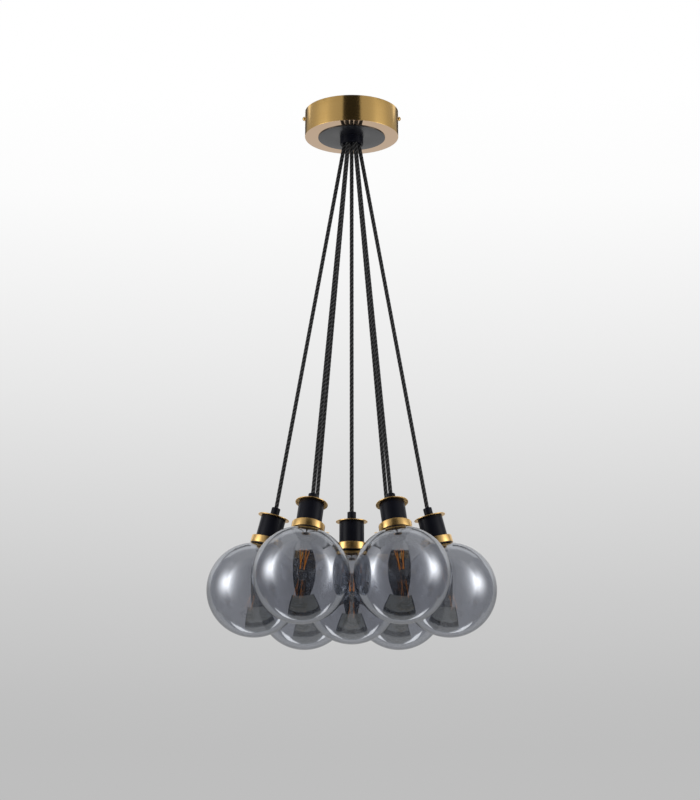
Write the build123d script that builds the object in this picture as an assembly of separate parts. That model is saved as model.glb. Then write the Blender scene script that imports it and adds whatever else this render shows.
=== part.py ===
from build123d import *
import math
import os

# Cluster pendant: seven smoked glass globes hang on fabric cords from one brass ceiling canopy.
# Millimetres and degrees. The origin is the centre of the canopy on the ceiling, and +Z is up.

os.makedirs("parts", exist_ok=True)

# ---- canopy, from the ceiling down ----
canopy_radius = 77.7
canopy_height = 44.0
canopy_wall = 1.0
canopy_edge = 0.8
disc_radius = 55.7
disc_thickness = 1.5
disc_chamfer = 0.4
hub_radius = 19.25
hub_height = 12.0
hub_chamfer = 0.6
spigot_radius = 17.0
spigot_above_nut = 2.0
nut_flats = 44.0
nut_height = 5.0
thread_play = 0.1
clamp_radius = 17.5
clamp_height = 8.0
tie_wall = 1.5
tie_height = 3.5
tie_head = 4.0

# ---- ceiling bracket and its screws ----
bracket_width = 25.0
bracket_thickness = 2.0
ear_width = 16.0
ear_drop = 20.0
ear_to_wall = 0.9
slot_spacing = 120.0
slot_length = 18.0
slot_width = 5.0
supply_hole_radius = 8.0
side_screw_drop = 11.0
side_screw_shank = 1.95
side_screw_bore = 2.0
side_screw_hole = 2.4
side_screw_length = 9.0
side_screw_head = 3.75
side_screw_dome = 4.0
side_screw_gap = 0.3

# ---- terminal strips and leads ----
strip_inner_x = 30.0
strip_length = 16.0
strip_width = 30.0
strip_height = 16.0
strip_edge = 1.5
strip_cut = 1.2
pocket_height = 7.4
pocket_width = 3.2
pocket_depth = 5.0
terminal_radius = 1.9
terminal_screw_depth = 4.5
terminal_slot = 0.8
core_radius = 0.9
core_offset = 1.3
core_pitch = 2.1
core_bend = 3.5
core_mid_z = -10.0
core_in_strip = 3.0
jacket_top = -20.0

# ---- cords ----
cord_radius = 3.0
cord_length = 626.0
centre_cord_length = 623.0
cord_lean = 9.95
cord_in_grip = 10.0
cord_circle = 12.0
cord_hole = 3.3
cord_countersink = 4.6
cord_gap = 0.3
ring_count = 6
run_share = 0.45

# ---- one lamp, as distances down its own axis from the top of the cord grip ----
lamp_tilt = 14.6
grip_radius = 7.0
grip_height = 15.0
grip_round = 1.2
grip_bore = 3.2
grub_radius = 1.4
grub_depth = 4.0
grub_out = 6.6
nipple_radius = 5.0
nipple_bore = 3.3
nipple_top = 8.0
nipple_bottom = 27.0
nipple_play = 0.05
flange_radius = 25.25
flange_thickness = 1.5
flange_edge = 0.5
sleeve_radius = 19.75
sleeve_wall = 1.2
sleeve_height = 35.0
lamp_nut_flats = 14.0
lamp_nut_height = 3.0
holder_top = 21.0
holder_shoulder = 31.0
holder_neck_radius = 9.0
holder_radius = 14.0
holder_bottom = 75.0
holder_floor = 48.0
holder_bore = 7.3
holder_mouth = 8.8
holder_mouth_depth = 4.0
contact_radius = 2.5
contact_height = 1.7
collar_radius = 25.75
collar_height = 11.5
collar_wall = 1.5
collar_edge = 0.6
shade_ring_radius = 24.1
shade_ring_bore = 21.7
shade_ring_web = 1.5
shade_ring_bottom = 63.8
shade_ring_play = 0.2

# ---- globe ----
globe_radius = 75.0
globe_wall = 1.8
globe_centre = 136.0
neck_radius = 21.4
neck_bore = 19.4
neck_top = 56.0
neck_fillet = 1.4

# ---- candle lamp ----
bulb_contact = 50.0
bulb_cap_radius = 6.7
bulb_cap_top = 76.0
bulb_cap_rim = 7.8
bulb_cap_rim_height = 3.0
bulb_neck_radius = 7.4
bulb_shoulder = (15.6, 88.0)
bulb_belly = (17.5, 101.0)
bulb_waist = (12.6, 127.0)
bulb_tip = 150.0
bulb_wall = 1.0
bulb_stem_radius = 3.6
bulb_stem_bottom = 90.0
bulb_rod_radius = 0.6
filament_radius = 0.9
filament_count = 4
filament_top = (7.4, 91.0)
filament_foot = (3.7, 124.0)
filament_ring_height = 0.8

# ---- worked out from the above ----
canopy_floor = -canopy_height + canopy_wall
disc_bottom = -canopy_height - disc_thickness
hub_bottom = disc_bottom - hub_height
nut_top = canopy_floor + nut_height
spigot_top = nut_top + spigot_above_nut
clamp_top = spigot_top + clamp_height
flange_bottom = grip_height + flange_thickness
sleeve_bottom = flange_bottom + sleeve_height
collar_bottom = sleeve_bottom + collar_height
collar_plate_bottom = sleeve_bottom + collar_wall
wall_inside = canopy_radius - canopy_wall
ear_outside = wall_inside - ear_to_wall


# ---- helpers ----
def cylinder(radius, low, high, x=0.0, y=0.0):
    """An upright cylinder between two heights."""
    return Pos(x, y, low) * Cylinder(radius, high - low, align=(Align.CENTER, Align.CENTER, Align.MIN))


def block(x, y, z):
    """A box between two limits on each axis."""
    size = Box(x[1] - x[0], y[1] - y[0], z[1] - z[0])
    return Pos((x[0] + x[1]) / 2, (y[0] + y[1]) / 2, (z[0] + z[1]) / 2) * size


def turned(face):
    """A profile of radius and height, turned about the Z axis."""
    return revolve(Plane.XZ * face, Axis.Z, 360)


def outline(*points):
    """A closed straight-sided profile of (radius, distance down the lamp) points."""
    return make_face(Polyline(*[(radius, -down) for radius, down in points], close=True))


def rounded(shape, radius, low, high):
    """A turned shape with its round edges between two heights rounded over."""
    edges = [e for e in shape.edges().filter_by(GeomType.CIRCLE) if low <= e.center().Z <= high]
    return fillet(edges, radius)


def hole_places():
    """Where the seven cords leave the hub: six on a circle, then the centre."""
    turns = [math.radians(360 * n / ring_count) for n in range(ring_count)]
    ring = [(cord_circle * math.cos(a), cord_circle * math.sin(a)) for a in turns]
    return ring + [(0.0, 0.0)]


def save(node, *solids):
    """Writes one node, as its separate solids."""
    shape = solids[0] if len(solids) == 1 else Compound(list(solids))
    export_step(shape, f"parts/{node}.step")


def solids_of(*shapes):
    """Every solid of some shapes, in one list."""
    return [solid for shape in shapes for solid in shape.solids()]


# ---- canopy ----
def canopy_cup():
    """The brass drum, open to the ceiling, with a hole for the hub and two for the side screws."""
    cup = cylinder(canopy_radius, -canopy_height, 0)
    outer = cup.edges().filter_by(GeomType.CIRCLE).sort_by(Axis.Z)[0]
    cup = fillet(outer, canopy_edge)
    cup -= cylinder(wall_inside, canopy_floor, 1)
    cup -= cylinder(spigot_radius + thread_play, -canopy_height - 1, 0)
    drill = Rot(0, 90, 0) * Cylinder(side_screw_hole, 3 * canopy_radius)
    return cup - Pos(0, 0, -side_screw_drop) * drill


def canopy_disc():
    """The black cover disc under the drum."""
    disc = cylinder(disc_radius, disc_bottom, -canopy_height)
    edge = disc.edges().filter_by(GeomType.CIRCLE).sort_by(Axis.Z)[0]
    disc = chamfer(edge, disc_chamfer)
    return disc - cylinder(spigot_radius + thread_play, disc_bottom - 1, 0)


def cord_hub():
    """The black hub and its threaded spigot, with a flared hole for each cord."""
    hub = cylinder(hub_radius, hub_bottom, disc_bottom)
    edge = hub.edges().filter_by(GeomType.CIRCLE).sort_by(Axis.Z)[0]
    hub = chamfer(edge, hub_chamfer) + cylinder(spigot_radius, disc_bottom, spigot_top)
    flare = cord_countersink - cord_hole
    for x, y in hole_places():
        hub -= cylinder(cord_hole, hub_bottom - 1, spigot_top + 1, x, y)
        hub -= Pos(x, y, hub_bottom + flare / 2) * Cone(cord_countersink, cord_hole, flare)
    return hub


def hub_nut():
    """The hexagon nut that pulls the hub against the drum's floor."""
    nut = extrude(RegularPolygon(nut_flats / 2, 6, major_radius=False), nut_height)
    return Pos(0, 0, canopy_floor) * nut - cylinder(spigot_radius + thread_play, canopy_floor - 1, 0)


def strain_relief():
    """The clamp disc on the spigot and a cable tie round each cord above it."""
    disc = cylinder(clamp_radius, spigot_top, clamp_top)
    ties = []
    for x, y in hole_places():
        disc -= cylinder(cord_hole, spigot_top - 1, clamp_top + 1, x, y)
        tie = cylinder(cord_radius + tie_wall, clamp_top, clamp_top + tie_height, x, y)
        head_y = y + cord_radius + tie_wall
        tie += block((x - tie_head / 2, x + tie_head / 2), (y, head_y), (clamp_top, clamp_top + tie_head))
        tie -= cylinder(cord_radius, clamp_top - 1, clamp_top + tie_head + 1, x, y)
        ties.append(tie)
    return solids_of(disc, *ties)


def ceiling_bracket():
    """The steel strip on the ceiling, with two slots and an ear at each end for a side screw."""
    half = bracket_width / 2
    bar = block((-ear_outside, ear_outside), (-half, half), (-bracket_thickness, 0))
    bar -= cylinder(supply_hole_radius, -bracket_thickness - 1, 1)
    for side in (-1, 1):
        slot = extrude(SlotOverall(slot_length, slot_width), bracket_thickness + 2)
        bar -= Pos(side * slot_spacing / 2, 0, -bracket_thickness - 1) * slot
        face = sorted((side * (ear_outside - bracket_thickness), side * ear_outside))
        bar += block(face, (-ear_width / 2, ear_width / 2), (-ear_drop, 0))
        corner = ear_width / 2
        for end in (-1, 1):
            cut = sorted((end * corner, end * (half + 1)))
            bar -= block(sorted((side * (ear_outside - 4), side * (ear_outside + 1))), cut, (-ear_drop, 1))
    drill = Rot(0, 90, 0) * Cylinder(side_screw_bore, 3 * canopy_radius)
    return bar - Pos(0, 0, -side_screw_drop) * drill


def side_screw(side):
    """A brass screw with a domed head, through the drum into the bracket's ear."""
    head_flat = canopy_radius + side_screw_gap
    shank = cylinder(side_screw_shank, -side_screw_length, 0)
    dome_radius = (side_screw_head**2 + (side_screw_dome - 1) ** 2) / (2 * (side_screw_dome - 1))
    dome = Pos(0, 0, side_screw_dome - dome_radius) * Sphere(dome_radius)
    head = cylinder(side_screw_head, 0, side_screw_dome + 1) & dome
    turn = Rot(0, 90, 0) if side > 0 else Rot(0, -90, 0)
    return Pos(side * head_flat, 0, -side_screw_drop) * turn * (shank + head)


def strip_ways():
    """The Y of each core plane in a strip: one plane for each row of cords."""
    return sorted({round(y, 6) for x, y in hole_places()})


def terminal_strip(side):
    """A three-way strip under the bracket, its wire pockets on both sides and its screws below."""
    x = sorted((side * strip_inner_x, side * (strip_inner_x + strip_length)))
    low = -bracket_thickness - strip_height
    strip = block(x, (-strip_width / 2, strip_width / 2), (low, -bracket_thickness))
    strip = fillet(strip.edges().filter_by(Axis.Y).group_by(Axis.Z)[0], strip_edge)
    for y in strip_ways()[:-1]:
        middle = y + (strip_ways()[1] - strip_ways()[0]) / 2 + side * core_offset
        groove = (middle - strip_cut / 2, middle + strip_cut / 2)
        strip -= block((x[0] - 1, x[1] + 1), groove, (low - 1, low + strip_height / 2))
    for y in strip_ways():
        way = y + side * core_offset
        width = (way - pocket_width / 2, way + pocket_width / 2)
        height = (core_mid_z - pocket_height / 2, core_mid_z + pocket_height / 2)
        strip -= block((x[0] - 1, x[0] + pocket_depth), width, height)
        strip -= block((x[1] - pocket_depth, x[1] + 1), width, height)
        for screw_x in terminal_screw_places(side):
            strip -= cylinder(terminal_radius + 0.1, low - 1, low + terminal_screw_depth, screw_x, way)
    return strip


def terminal_screw_places(side):
    """The X of a strip's two rows of clamp screws."""
    middle = side * (strip_inner_x + strip_length / 2)
    return (middle - strip_length / 4, middle + strip_length / 4)


def terminal_screws():
    """The slotted clamp screws of both strips."""
    low = -bracket_thickness - strip_height
    screws = []
    for side in (-1, 1):
        for y in strip_ways():
            for x in terminal_screw_places(side):
                way = y + side * core_offset
                screw = cylinder(terminal_radius, low + 1, low + terminal_screw_depth, x, way)
                slot = (way - terminal_slot / 2, way + terminal_slot / 2)
                screws.append(screw - block((x - 3, x + 3), slot, (low, low + 1 + terminal_slot)))
    return solids_of(*screws)


def tube(path, radius):
    """A round tube along a path of straight runs and tangent arcs."""
    start = Plane(origin=path @ 0, z_dir=path % 0)
    return sweep(start * Circle(radius), path=path)


def lead_wires():
    """The seven cord ends inside the canopy, and the brown and blue core of each."""
    wires = []
    for x, y in hole_places():
        wires.append(cylinder(cord_radius, hub_bottom + cord_radius + cord_gap, jacket_top, x, y))
        row = sorted(hx for hx, hy in hole_places() if abs(hy - y) < 0.01)
        for side in (-1, 1):
            order = row.index(x) if side < 0 else len(row) - 1 - row.index(x)
            plane = y + side * core_offset
            level = core_mid_z + (order - 1) * core_pitch
            end = side * (strip_inner_x + core_in_strip)
            corners = [(x, plane, jacket_top), (x, plane, level), (end, plane, level)]
            wires.append(tube(FilletPolyline(*corners, radius=core_bend), core_radius))
    return solids_of(*wires)


# ---- one lamp, hanging straight down from the top of its cord grip ----
def cord_grip():
    """The black cord grip, its grub screw, the threaded nipple and the nut under the sleeve's top."""
    grip = rounded(cylinder(grip_radius, -grip_height, 0), grip_round, -0.1, 0.1)
    grip -= cylinder(grip_bore, -grip_height - 1, 1)
    grip -= cylinder(nipple_radius + nipple_play, -grip_height - 1, -nipple_top)
    drill = Rot(90, 0, 0) * Cylinder(grub_radius + nipple_play, 2 * grip_radius)
    grip -= Pos(0, grip_radius, -grub_depth) * drill
    middle = (grub_out + grip_bore) / 2
    grub = Pos(0, middle, -grub_depth) * Rot(90, 0, 0) * Cylinder(grub_radius, grub_out - grip_bore)
    nipple = cylinder(nipple_radius, -nipple_bottom, -nipple_top)
    nipple -= cylinder(nipple_bore, -nipple_bottom - 1, 0)
    nut_z = -flange_bottom - sleeve_wall - lamp_nut_height
    nut = extrude(RegularPolygon(lamp_nut_flats / 2, 6, major_radius=False), lamp_nut_height)
    nut = Pos(0, 0, nut_z) * nut - cylinder(nipple_radius + nipple_play, nut_z - 1, 0)
    return [grip, grub, nipple, nut]


def flange():
    """The thin brass plate on top of the sleeve."""
    plate = cylinder(flange_radius, -flange_bottom, -grip_height)
    plate = rounded(plate, flange_edge, -flange_bottom - 0.1, -grip_height + 0.1)
    return plate - cylinder(nipple_radius + nipple_play, -flange_bottom - 1, 0)


def sleeve():
    """The black sleeve round the lampholder, closed at its top."""
    shell = cylinder(sleeve_radius, -sleeve_bottom, -flange_bottom)
    shell -= cylinder(sleeve_radius - sleeve_wall, -sleeve_bottom - 1, -flange_bottom - sleeve_wall)
    return shell - cylinder(nipple_radius + nipple_play, -sleeve_bottom, 0)


def lampholder():
    """The holder with its centre contact, and the shade ring whose thread takes the glass neck."""
    mouth_top = holder_bottom - holder_mouth_depth
    body = turned(
        outline(
            (nipple_radius + nipple_play, holder_top),
            (holder_neck_radius, holder_top),
            (holder_radius, holder_shoulder),
            (holder_radius, holder_bottom),
            (holder_mouth, holder_bottom),
            (holder_mouth, mouth_top),
            (holder_bore, mouth_top),
            (holder_bore, holder_floor),
            (0, holder_floor),
            (0, nipple_bottom),
            (nipple_radius + nipple_play, nipple_bottom),
        )
    )
    contact = cylinder(contact_radius, -holder_floor - contact_height, -holder_floor)
    web_bottom = collar_plate_bottom + shade_ring_web
    ring = turned(
        outline(
            (holder_radius + shade_ring_play, collar_plate_bottom),
            (shade_ring_radius, collar_plate_bottom),
            (shade_ring_radius, shade_ring_bottom),
            (shade_ring_bore, shade_ring_bottom),
            (shade_ring_bore, web_bottom),
            (holder_radius + shade_ring_play, web_bottom),
        )
    )
    return [body, contact, ring]


def collar():
    """The brass collar over the shade ring."""
    cup = cylinder(collar_radius, -collar_bottom, -sleeve_bottom)
    cup = rounded(cup, collar_edge, -collar_bottom - 0.1, -sleeve_bottom + 0.1)
    cup -= cylinder(collar_radius - collar_wall, -collar_bottom - 1, -collar_plate_bottom)
    return cup - cylinder(holder_radius + shade_ring_play, -collar_bottom, 0)


def globe():
    """The blown glass globe with its short neck, open at the top."""
    middle = Pos(0, -globe_centre)
    span = globe_centre - neck_top
    neck_at = Pos(0, -neck_top - span / 2)
    outside = middle * Circle(globe_radius) + neck_at * Rectangle(2 * neck_radius, span)
    inside = middle * Circle(globe_radius - globe_wall) + neck_at * Rectangle(2 * neck_bore, span)
    half = Pos(globe_radius, -globe_centre) * Rectangle(2 * globe_radius, 4 * globe_radius)
    section = (outside - inside) & half
    shoulder = globe_centre - globe_radius + globe_wall
    joint = [v for v in section.vertices() if v.X > 1 and -shoulder - 5 < v.Y < -shoulder + 3]
    return turned(fillet(joint, neck_fillet))


def bulb_face():
    """The section of the lamp's glass: a candle shape that ends in a point."""
    skins = []
    for inward in (0.0, bulb_wall):
        waist = [bulb_shoulder, bulb_belly, bulb_waist]
        points = [(bulb_neck_radius - inward, -bulb_cap_top)]
        points += [(radius - inward, -down) for radius, down in waist]
        points.append((0, -bulb_tip + inward))
        skins.append(Spline(*points, tangents=[(1, -1), (-1, -0.35)]))
    outer, inner = skins
    ends = [Line(outer @ 0, inner @ 0), Line(outer @ 1, inner @ 1)]
    return make_face([outer, inner, *ends])


def bulb():
    """The candle lamp: glass, screw cap, stem with its wire rings, and four filaments."""
    rim_top = bulb_cap_top - bulb_cap_rim_height
    cap = turned(
        outline(
            (0, bulb_contact),
            (contact_radius, bulb_contact),
            (contact_radius, bulb_contact + 1.5),
            (bulb_cap_radius, bulb_contact + 3.5),
            (bulb_cap_radius, rim_top - 1),
            (bulb_cap_rim, rim_top),
            (bulb_cap_rim, bulb_cap_top),
            (0, bulb_cap_top),
        )
    )
    ring_reach = filament_radius + 0.3
    top_ring = filament_top[1] - filament_ring_height
    foot_ring = filament_foot[1] + filament_ring_height
    stem = turned(
        outline(
            (0, bulb_cap_top),
            (bulb_stem_radius, bulb_cap_top),
            (bulb_stem_radius / 2, bulb_stem_bottom - 1),
            (filament_top[0] + ring_reach, top_ring),
            (filament_top[0] + ring_reach, filament_top[1]),
            (bulb_rod_radius, filament_top[1]),
            (bulb_rod_radius, filament_foot[1]),
            (filament_foot[0] + ring_reach, filament_foot[1]),
            (filament_foot[0] + ring_reach, foot_ring),
            (0, foot_ring),
        )
    )
    filaments = []
    fall = filament_foot[1] - filament_top[1]
    slant = math.degrees(math.atan2(filament_top[0] - filament_foot[0], fall))
    between = cylinder(bulb_belly[0], -filament_foot[1], -filament_top[1])
    middle_r = (filament_top[0] + filament_foot[0]) / 2
    middle_z = -(filament_top[1] + filament_foot[1]) / 2
    for n in range(filament_count):
        rod = Pos(middle_r, 0, middle_z) * Rot(0, slant, 0) * Cylinder(filament_radius, 2 * fall)
        filaments.append(Rot(0, 0, 360 * n / filament_count) * (rod & between))
    return [turned(bulb_face()), cap, stem, *filaments]


def lamp_pieces():
    """Every node of one lamp as its list of solids, in the lamp's own frame."""
    return {
        "flange": solids_of(flange()),
        "sleeve_and_grip": solids_of(sleeve(), *cord_grip()),
        "lampholder": solids_of(*lampholder()),
        "collar": solids_of(collar()),
        "globe": solids_of(globe()),
        "bulb": solids_of(*bulb()),
    }


# ---- cords ----
def leaning_cord():
    """A ring cord at angle 0: straight to the grip, then turned into it. Gives the tube and grip top."""
    lean = math.radians(cord_lean)
    tilt = math.radians(lamp_tilt)
    top = Vector(cord_circle, 0, hub_bottom)
    grip_top = top + Vector(math.sin(lean), 0, -math.cos(lean)) * cord_length
    end = grip_top + Vector(math.sin(tilt), 0, -math.cos(tilt)) * cord_in_grip
    turn = (grip_top - top).get_angle(end - grip_top)
    radius = run_share * cord_in_grip / math.tan(math.radians(turn / 2))
    print(f"ring cord: turn {turn:.2f} degrees, radius {radius:.1f} mm, straight run {cord_length:.0f} mm")
    path = FilletPolyline(top, grip_top, end, radius=[radius])
    return tube(path, cord_radius), path.length, top, grip_top


def hanging_cord():
    """The centre cord, straight down."""
    top = Vector(0, 0, hub_bottom)
    grip_top = top - Vector(0, 0, centre_cord_length)
    path = Line(top, grip_top - Vector(0, 0, cord_in_grip))
    return tube(path, cord_radius), path.length, top, grip_top


def finished_cord(body, length, top):
    """A cord with a ball top, so that it turns in the hub's flared hole."""
    section = math.pi * cord_radius**2
    print(f"cord: length {length:.1f} mm, volume over section times length {body.volume / section / length:.4f}")
    return body + Pos(top.X, top.Y, top.Z) * Sphere(cord_radius)


# ---- write every node ----
save("canopy_cup", canopy_cup())
save("canopy_disc", canopy_disc())
save("cord_hub", cord_hub())
save("hub_nut", hub_nut())
save("strain_relief", *strain_relief())
save("ceiling_bracket", ceiling_bracket())
save("side_screw_left", side_screw(-1))
save("side_screw_right", side_screw(1))
save("terminal_strips", terminal_strip(-1), terminal_strip(1))
save("terminal_screws", *terminal_screws())
save("lead_wires", *lead_wires())

lamp = lamp_pieces()
ring_tube, ring_length, ring_top, ring_grip = leaning_cord()
ring_cord = finished_cord(ring_tube, ring_length, ring_top)
for n in range(ring_count):
    turn = Rot(0, 0, 360 * n / ring_count)
    place = turn * Pos(ring_grip.X, 0, ring_grip.Z) * Rot(0, -lamp_tilt, 0)
    save(f"cord_{n + 1}", turn * ring_cord)
    for piece, solids in lamp.items():
        save(f"{piece}_{n + 1}", *[place * solid for solid in solids])

centre_tube, centre_length, centre_top, centre_grip = hanging_cord()
save("cord_centre", finished_cord(centre_tube, centre_length, centre_top))
for piece, solids in lamp.items():
    save(f"{piece}_centre", *[Pos(0, 0, centre_grip.Z) * solid for solid in solids])
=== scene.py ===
"""Cluster pendant: seven smoked glass globes hang on fabric cords from a round brass ceiling canopy."""

import math

import bmesh
import bpy
from bpy.props import FloatProperty, FloatVectorProperty, IntProperty, PointerProperty
from mathutils import Matrix, Vector


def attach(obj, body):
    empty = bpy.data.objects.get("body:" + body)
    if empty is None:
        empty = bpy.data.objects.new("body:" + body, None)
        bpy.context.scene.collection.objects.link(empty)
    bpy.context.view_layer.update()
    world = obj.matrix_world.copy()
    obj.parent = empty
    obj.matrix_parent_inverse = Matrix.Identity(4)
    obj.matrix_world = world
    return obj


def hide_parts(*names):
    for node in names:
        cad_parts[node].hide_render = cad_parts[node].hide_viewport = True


bl_info = {
    "name": "Cluster pendant",
    "version": (1, 0, 0),
    "blender": (4, 5, 0),
    "location": "3D View > Sidebar > Cluster pendant",
    "description": "Builds a ceiling light of seven smoked glass globes on twisted fabric cords",
    "category": "Object",
}

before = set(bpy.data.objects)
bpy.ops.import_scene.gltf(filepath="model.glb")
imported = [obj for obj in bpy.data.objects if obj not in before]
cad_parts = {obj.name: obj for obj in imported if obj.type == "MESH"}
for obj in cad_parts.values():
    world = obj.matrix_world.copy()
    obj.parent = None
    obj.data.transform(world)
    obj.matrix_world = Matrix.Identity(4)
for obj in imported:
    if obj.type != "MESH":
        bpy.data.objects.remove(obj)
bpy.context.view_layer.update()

MM = 0.001
TURN = 2 * math.pi
RING = ("1", "2", "3", "4", "5", "6")
PENDANTS = RING + ("centre",)
SHARP = math.radians(32)
MERGE = 0.002 * MM

# The canopy and its side screws, in metres. Z is 0 at the ceiling. The drum's satin brass turns into its
# polished underside between the two heights. There its paler, pinker base colour is a painted reflection of
# pale light from below. The cords' jackets end within the last reach.
CANOPY_WALL = 1.0 * MM
CANOPY_EDGE = 0.8 * MM
DISC_THICKNESS = 1.5 * MM
HUB_HEIGHT = 12.0 * MM
SPIGOT_HOLE = 17.1 * MM
SIDE_SCREW_DROP = 11.0 * MM
SIDE_SCREW_HOLE = 2.4 * MM
SIDE_SCREW_HEAD = 3.75 * MM
SIDE_SCREW_DOME = 4.0 * MM
SIDE_SCREW_SHANK = 1.95 * MM
SIDE_SCREW_LENGTH = 9.0 * MM
SIDE_SCREW_GAP = 0.3 * MM
POLISH_AND_REFLECTION_STARTS = -43.6 * MM
POLISH_AND_REFLECTION_FULL = -43.9 * MM
JACKET_REACH = 20.0 * MM

# The cords: how far each runs into its grip, the mesh of its strands, how far they stand out, as shares of
# the cord radius, and the length in which their yarns cross once.
CORD_IN_GRIP = 10.0 * MM
CORD_SIDES = 24
CORD_STEP = 1.5 * MM
CORD_BODY = 1.03
CORD_LOBE = 0.09
CORD_BRAID = 2.2 * MM

# One lamp, as distances down its own axis from the top of the cord grip, in metres.
GRIP_HEIGHT = 15.0 * MM
GRIP_ROUND = 1.2 * MM
GRIP_BORE = 3.2 * MM
GRUB_DEPTH = 4.0 * MM
GRUB_RADIUS = 1.4 * MM
GRUB_OUT = 6.6 * MM
GRUB_SOCKET = 0.84 * MM
NIPPLE_RADIUS = 5.0 * MM
NIPPLE_BORE = 3.3 * MM
NIPPLE_TOP = 8.0 * MM
NIPPLE_BOTTOM = 27.0 * MM
FLANGE_THICKNESS = 1.5 * MM
SLEEVE_WALL = 1.2 * MM
NUT_FLATS = 14.0 * MM
NUT_HEIGHT = 3.0 * MM
FIT = 0.05 * MM
HOLDER_TOP = 21.0 * MM
HOLDER_SHOULDER = 31.0 * MM
HOLDER_NECK = 9.0 * MM
HOLDER_RADIUS = 14.0 * MM
HOLDER_BOTTOM = 75.0 * MM
HOLDER_FLOOR = 48.0 * MM
HOLDER_BORE = 7.3 * MM
HOLDER_MOUTH = 8.8 * MM
HOLDER_MOUTH_DEPTH = 4.0 * MM
CONTACT_RADIUS = 2.5 * MM
CONTACT_HEIGHT = 1.7 * MM
COLLAR_WALL = 1.5 * MM
SHADE_RING_RADIUS = 24.1 * MM
SHADE_RING_BORE = 21.7 * MM
SHADE_RING_WEB = 1.5 * MM
SHADE_RING_BOTTOM = 63.8 * MM
SHADE_RING_PLAY = 0.2 * MM
GLOBE_CENTRE = 136.0 * MM
GLOBE_NECK = 21.4 * MM
GLOBE_NECK_BORE = 19.4 * MM
GLOBE_NECK_TOP = 56.0 * MM
GLOBE_FILLET = 1.4 * MM

# The candle lamp in each holder.
LAMP_CONTACT = 50.0 * MM
LAMP_CAP_RADIUS = 6.7 * MM
LAMP_CAP_TOP = 76.0 * MM
LAMP_RIM = 7.8 * MM
LAMP_RIM_HEIGHT = 3.0 * MM
LAMP_THREAD_PITCH = 2.82 * MM
LAMP_THREAD_TURNS = 5
LAMP_THREAD_RIDGE = 0.5 * MM
LAMP_THREAD_START = 4.5 * MM
LAMP_GLASS = ((7.4 * MM, 76.0 * MM), (15.6 * MM, 88.0 * MM), (17.5 * MM, 101.0 * MM),
              (12.6 * MM, 127.0 * MM), (0.0, 150.0 * MM))
LAMP_GLASS_START = (1.0, 1.0)
LAMP_GLASS_END = (-1.0, 0.35)
LAMP_WALL = 1.0 * MM
STEM_RADIUS = 3.6 * MM
STEM_BOTTOM = 90.0 * MM
STEM_ROD = 0.6 * MM
FILAMENTS = 4
FILAMENT_RADIUS = 0.6 * MM
FILAMENT_TOP = (7.4 * MM, 96.0 * MM)
FILAMENT_FOOT = (3.9 * MM, 128.0 * MM)
FILAMENT_TWIST = math.radians(40)
FILAMENT_SPIN = math.radians(22)
FILAMENT_WIND = 1.5 * MM
FILAMENT_PLATE = 0.8 * MM
FILAMENT_PLATE_EDGE = 0.3 * MM

# The studio, in metres: the camera, and the diffusers that the glass and brass mirror.
CAMERA_PLACE = (-0.00275, -3.4983, -1.4116)
CAMERA_PITCH = math.radians(14.67)
CAMERA_LENS = 100.85
FLOOR_Z = -2.6
FLOOR_SIZE = 160.0
SLOT_HALF = 0.20
FRONT_Y = -0.556
SIDE_X = 1.4
PANEL_BACK_Y = 0.9
PANEL_BOTTOM = -1.48
PANEL_TOP = 0.80
HOT_SPOT = (1.25, -0.50, -0.54)
HOT_SPREAD = 0.31
STRIP_SPREAD = 0.42
LIT_FLOOR_END = 0.0
DARK_FLOOR_END = 0.20
TENT_FLOOR_END = 0.62
TENT_STRIP_HALF = 0.30
TENT_STRIP_EDGE = 0.03
FLAG_INNER = 0.28
FLAG_OUTER = 1.40
FLAG_DARK_END = 0.50
FLAG_BOTTOM = 0.20
FLAG_TOP = 0.55
CARD_PLACE = (0.42, 0.47, -1.47)
CARD_REACH = (0.27, 0.13)

# The wall behind the light: its grey by the degrees that a look rises, white from WALL_WHITE_FROM up.
WALL_LEVELS = (
    (5.9, 0.515),
    (7.07, 0.533),
    (9.6, 0.604),
    (12.1, 0.694),
    (14.7, 0.799),
    (17.25, 0.888),
    (19.8, 0.973),
)
WALL_WHITE_FROM = 22.3


# ---- sizes and colours that a user would change ----
def length(label, description, millimetres):
    """A length property with its default given in millimetres."""
    start = millimetres * MM
    return FloatProperty(name=label, description=description, default=start, min=0.0, unit="LENGTH")


def angle(label, description, degrees):
    """An angle property with its default given in degrees."""
    return FloatProperty(name=label, description=description, default=math.radians(degrees), unit="ROTATION")


def colour(label, description, *levels):
    """A linear colour property."""
    return FloatVectorProperty(
        name=label, description=description, default=levels, subtype="COLOR", size=3, min=0.0, max=1.0
    )


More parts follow.
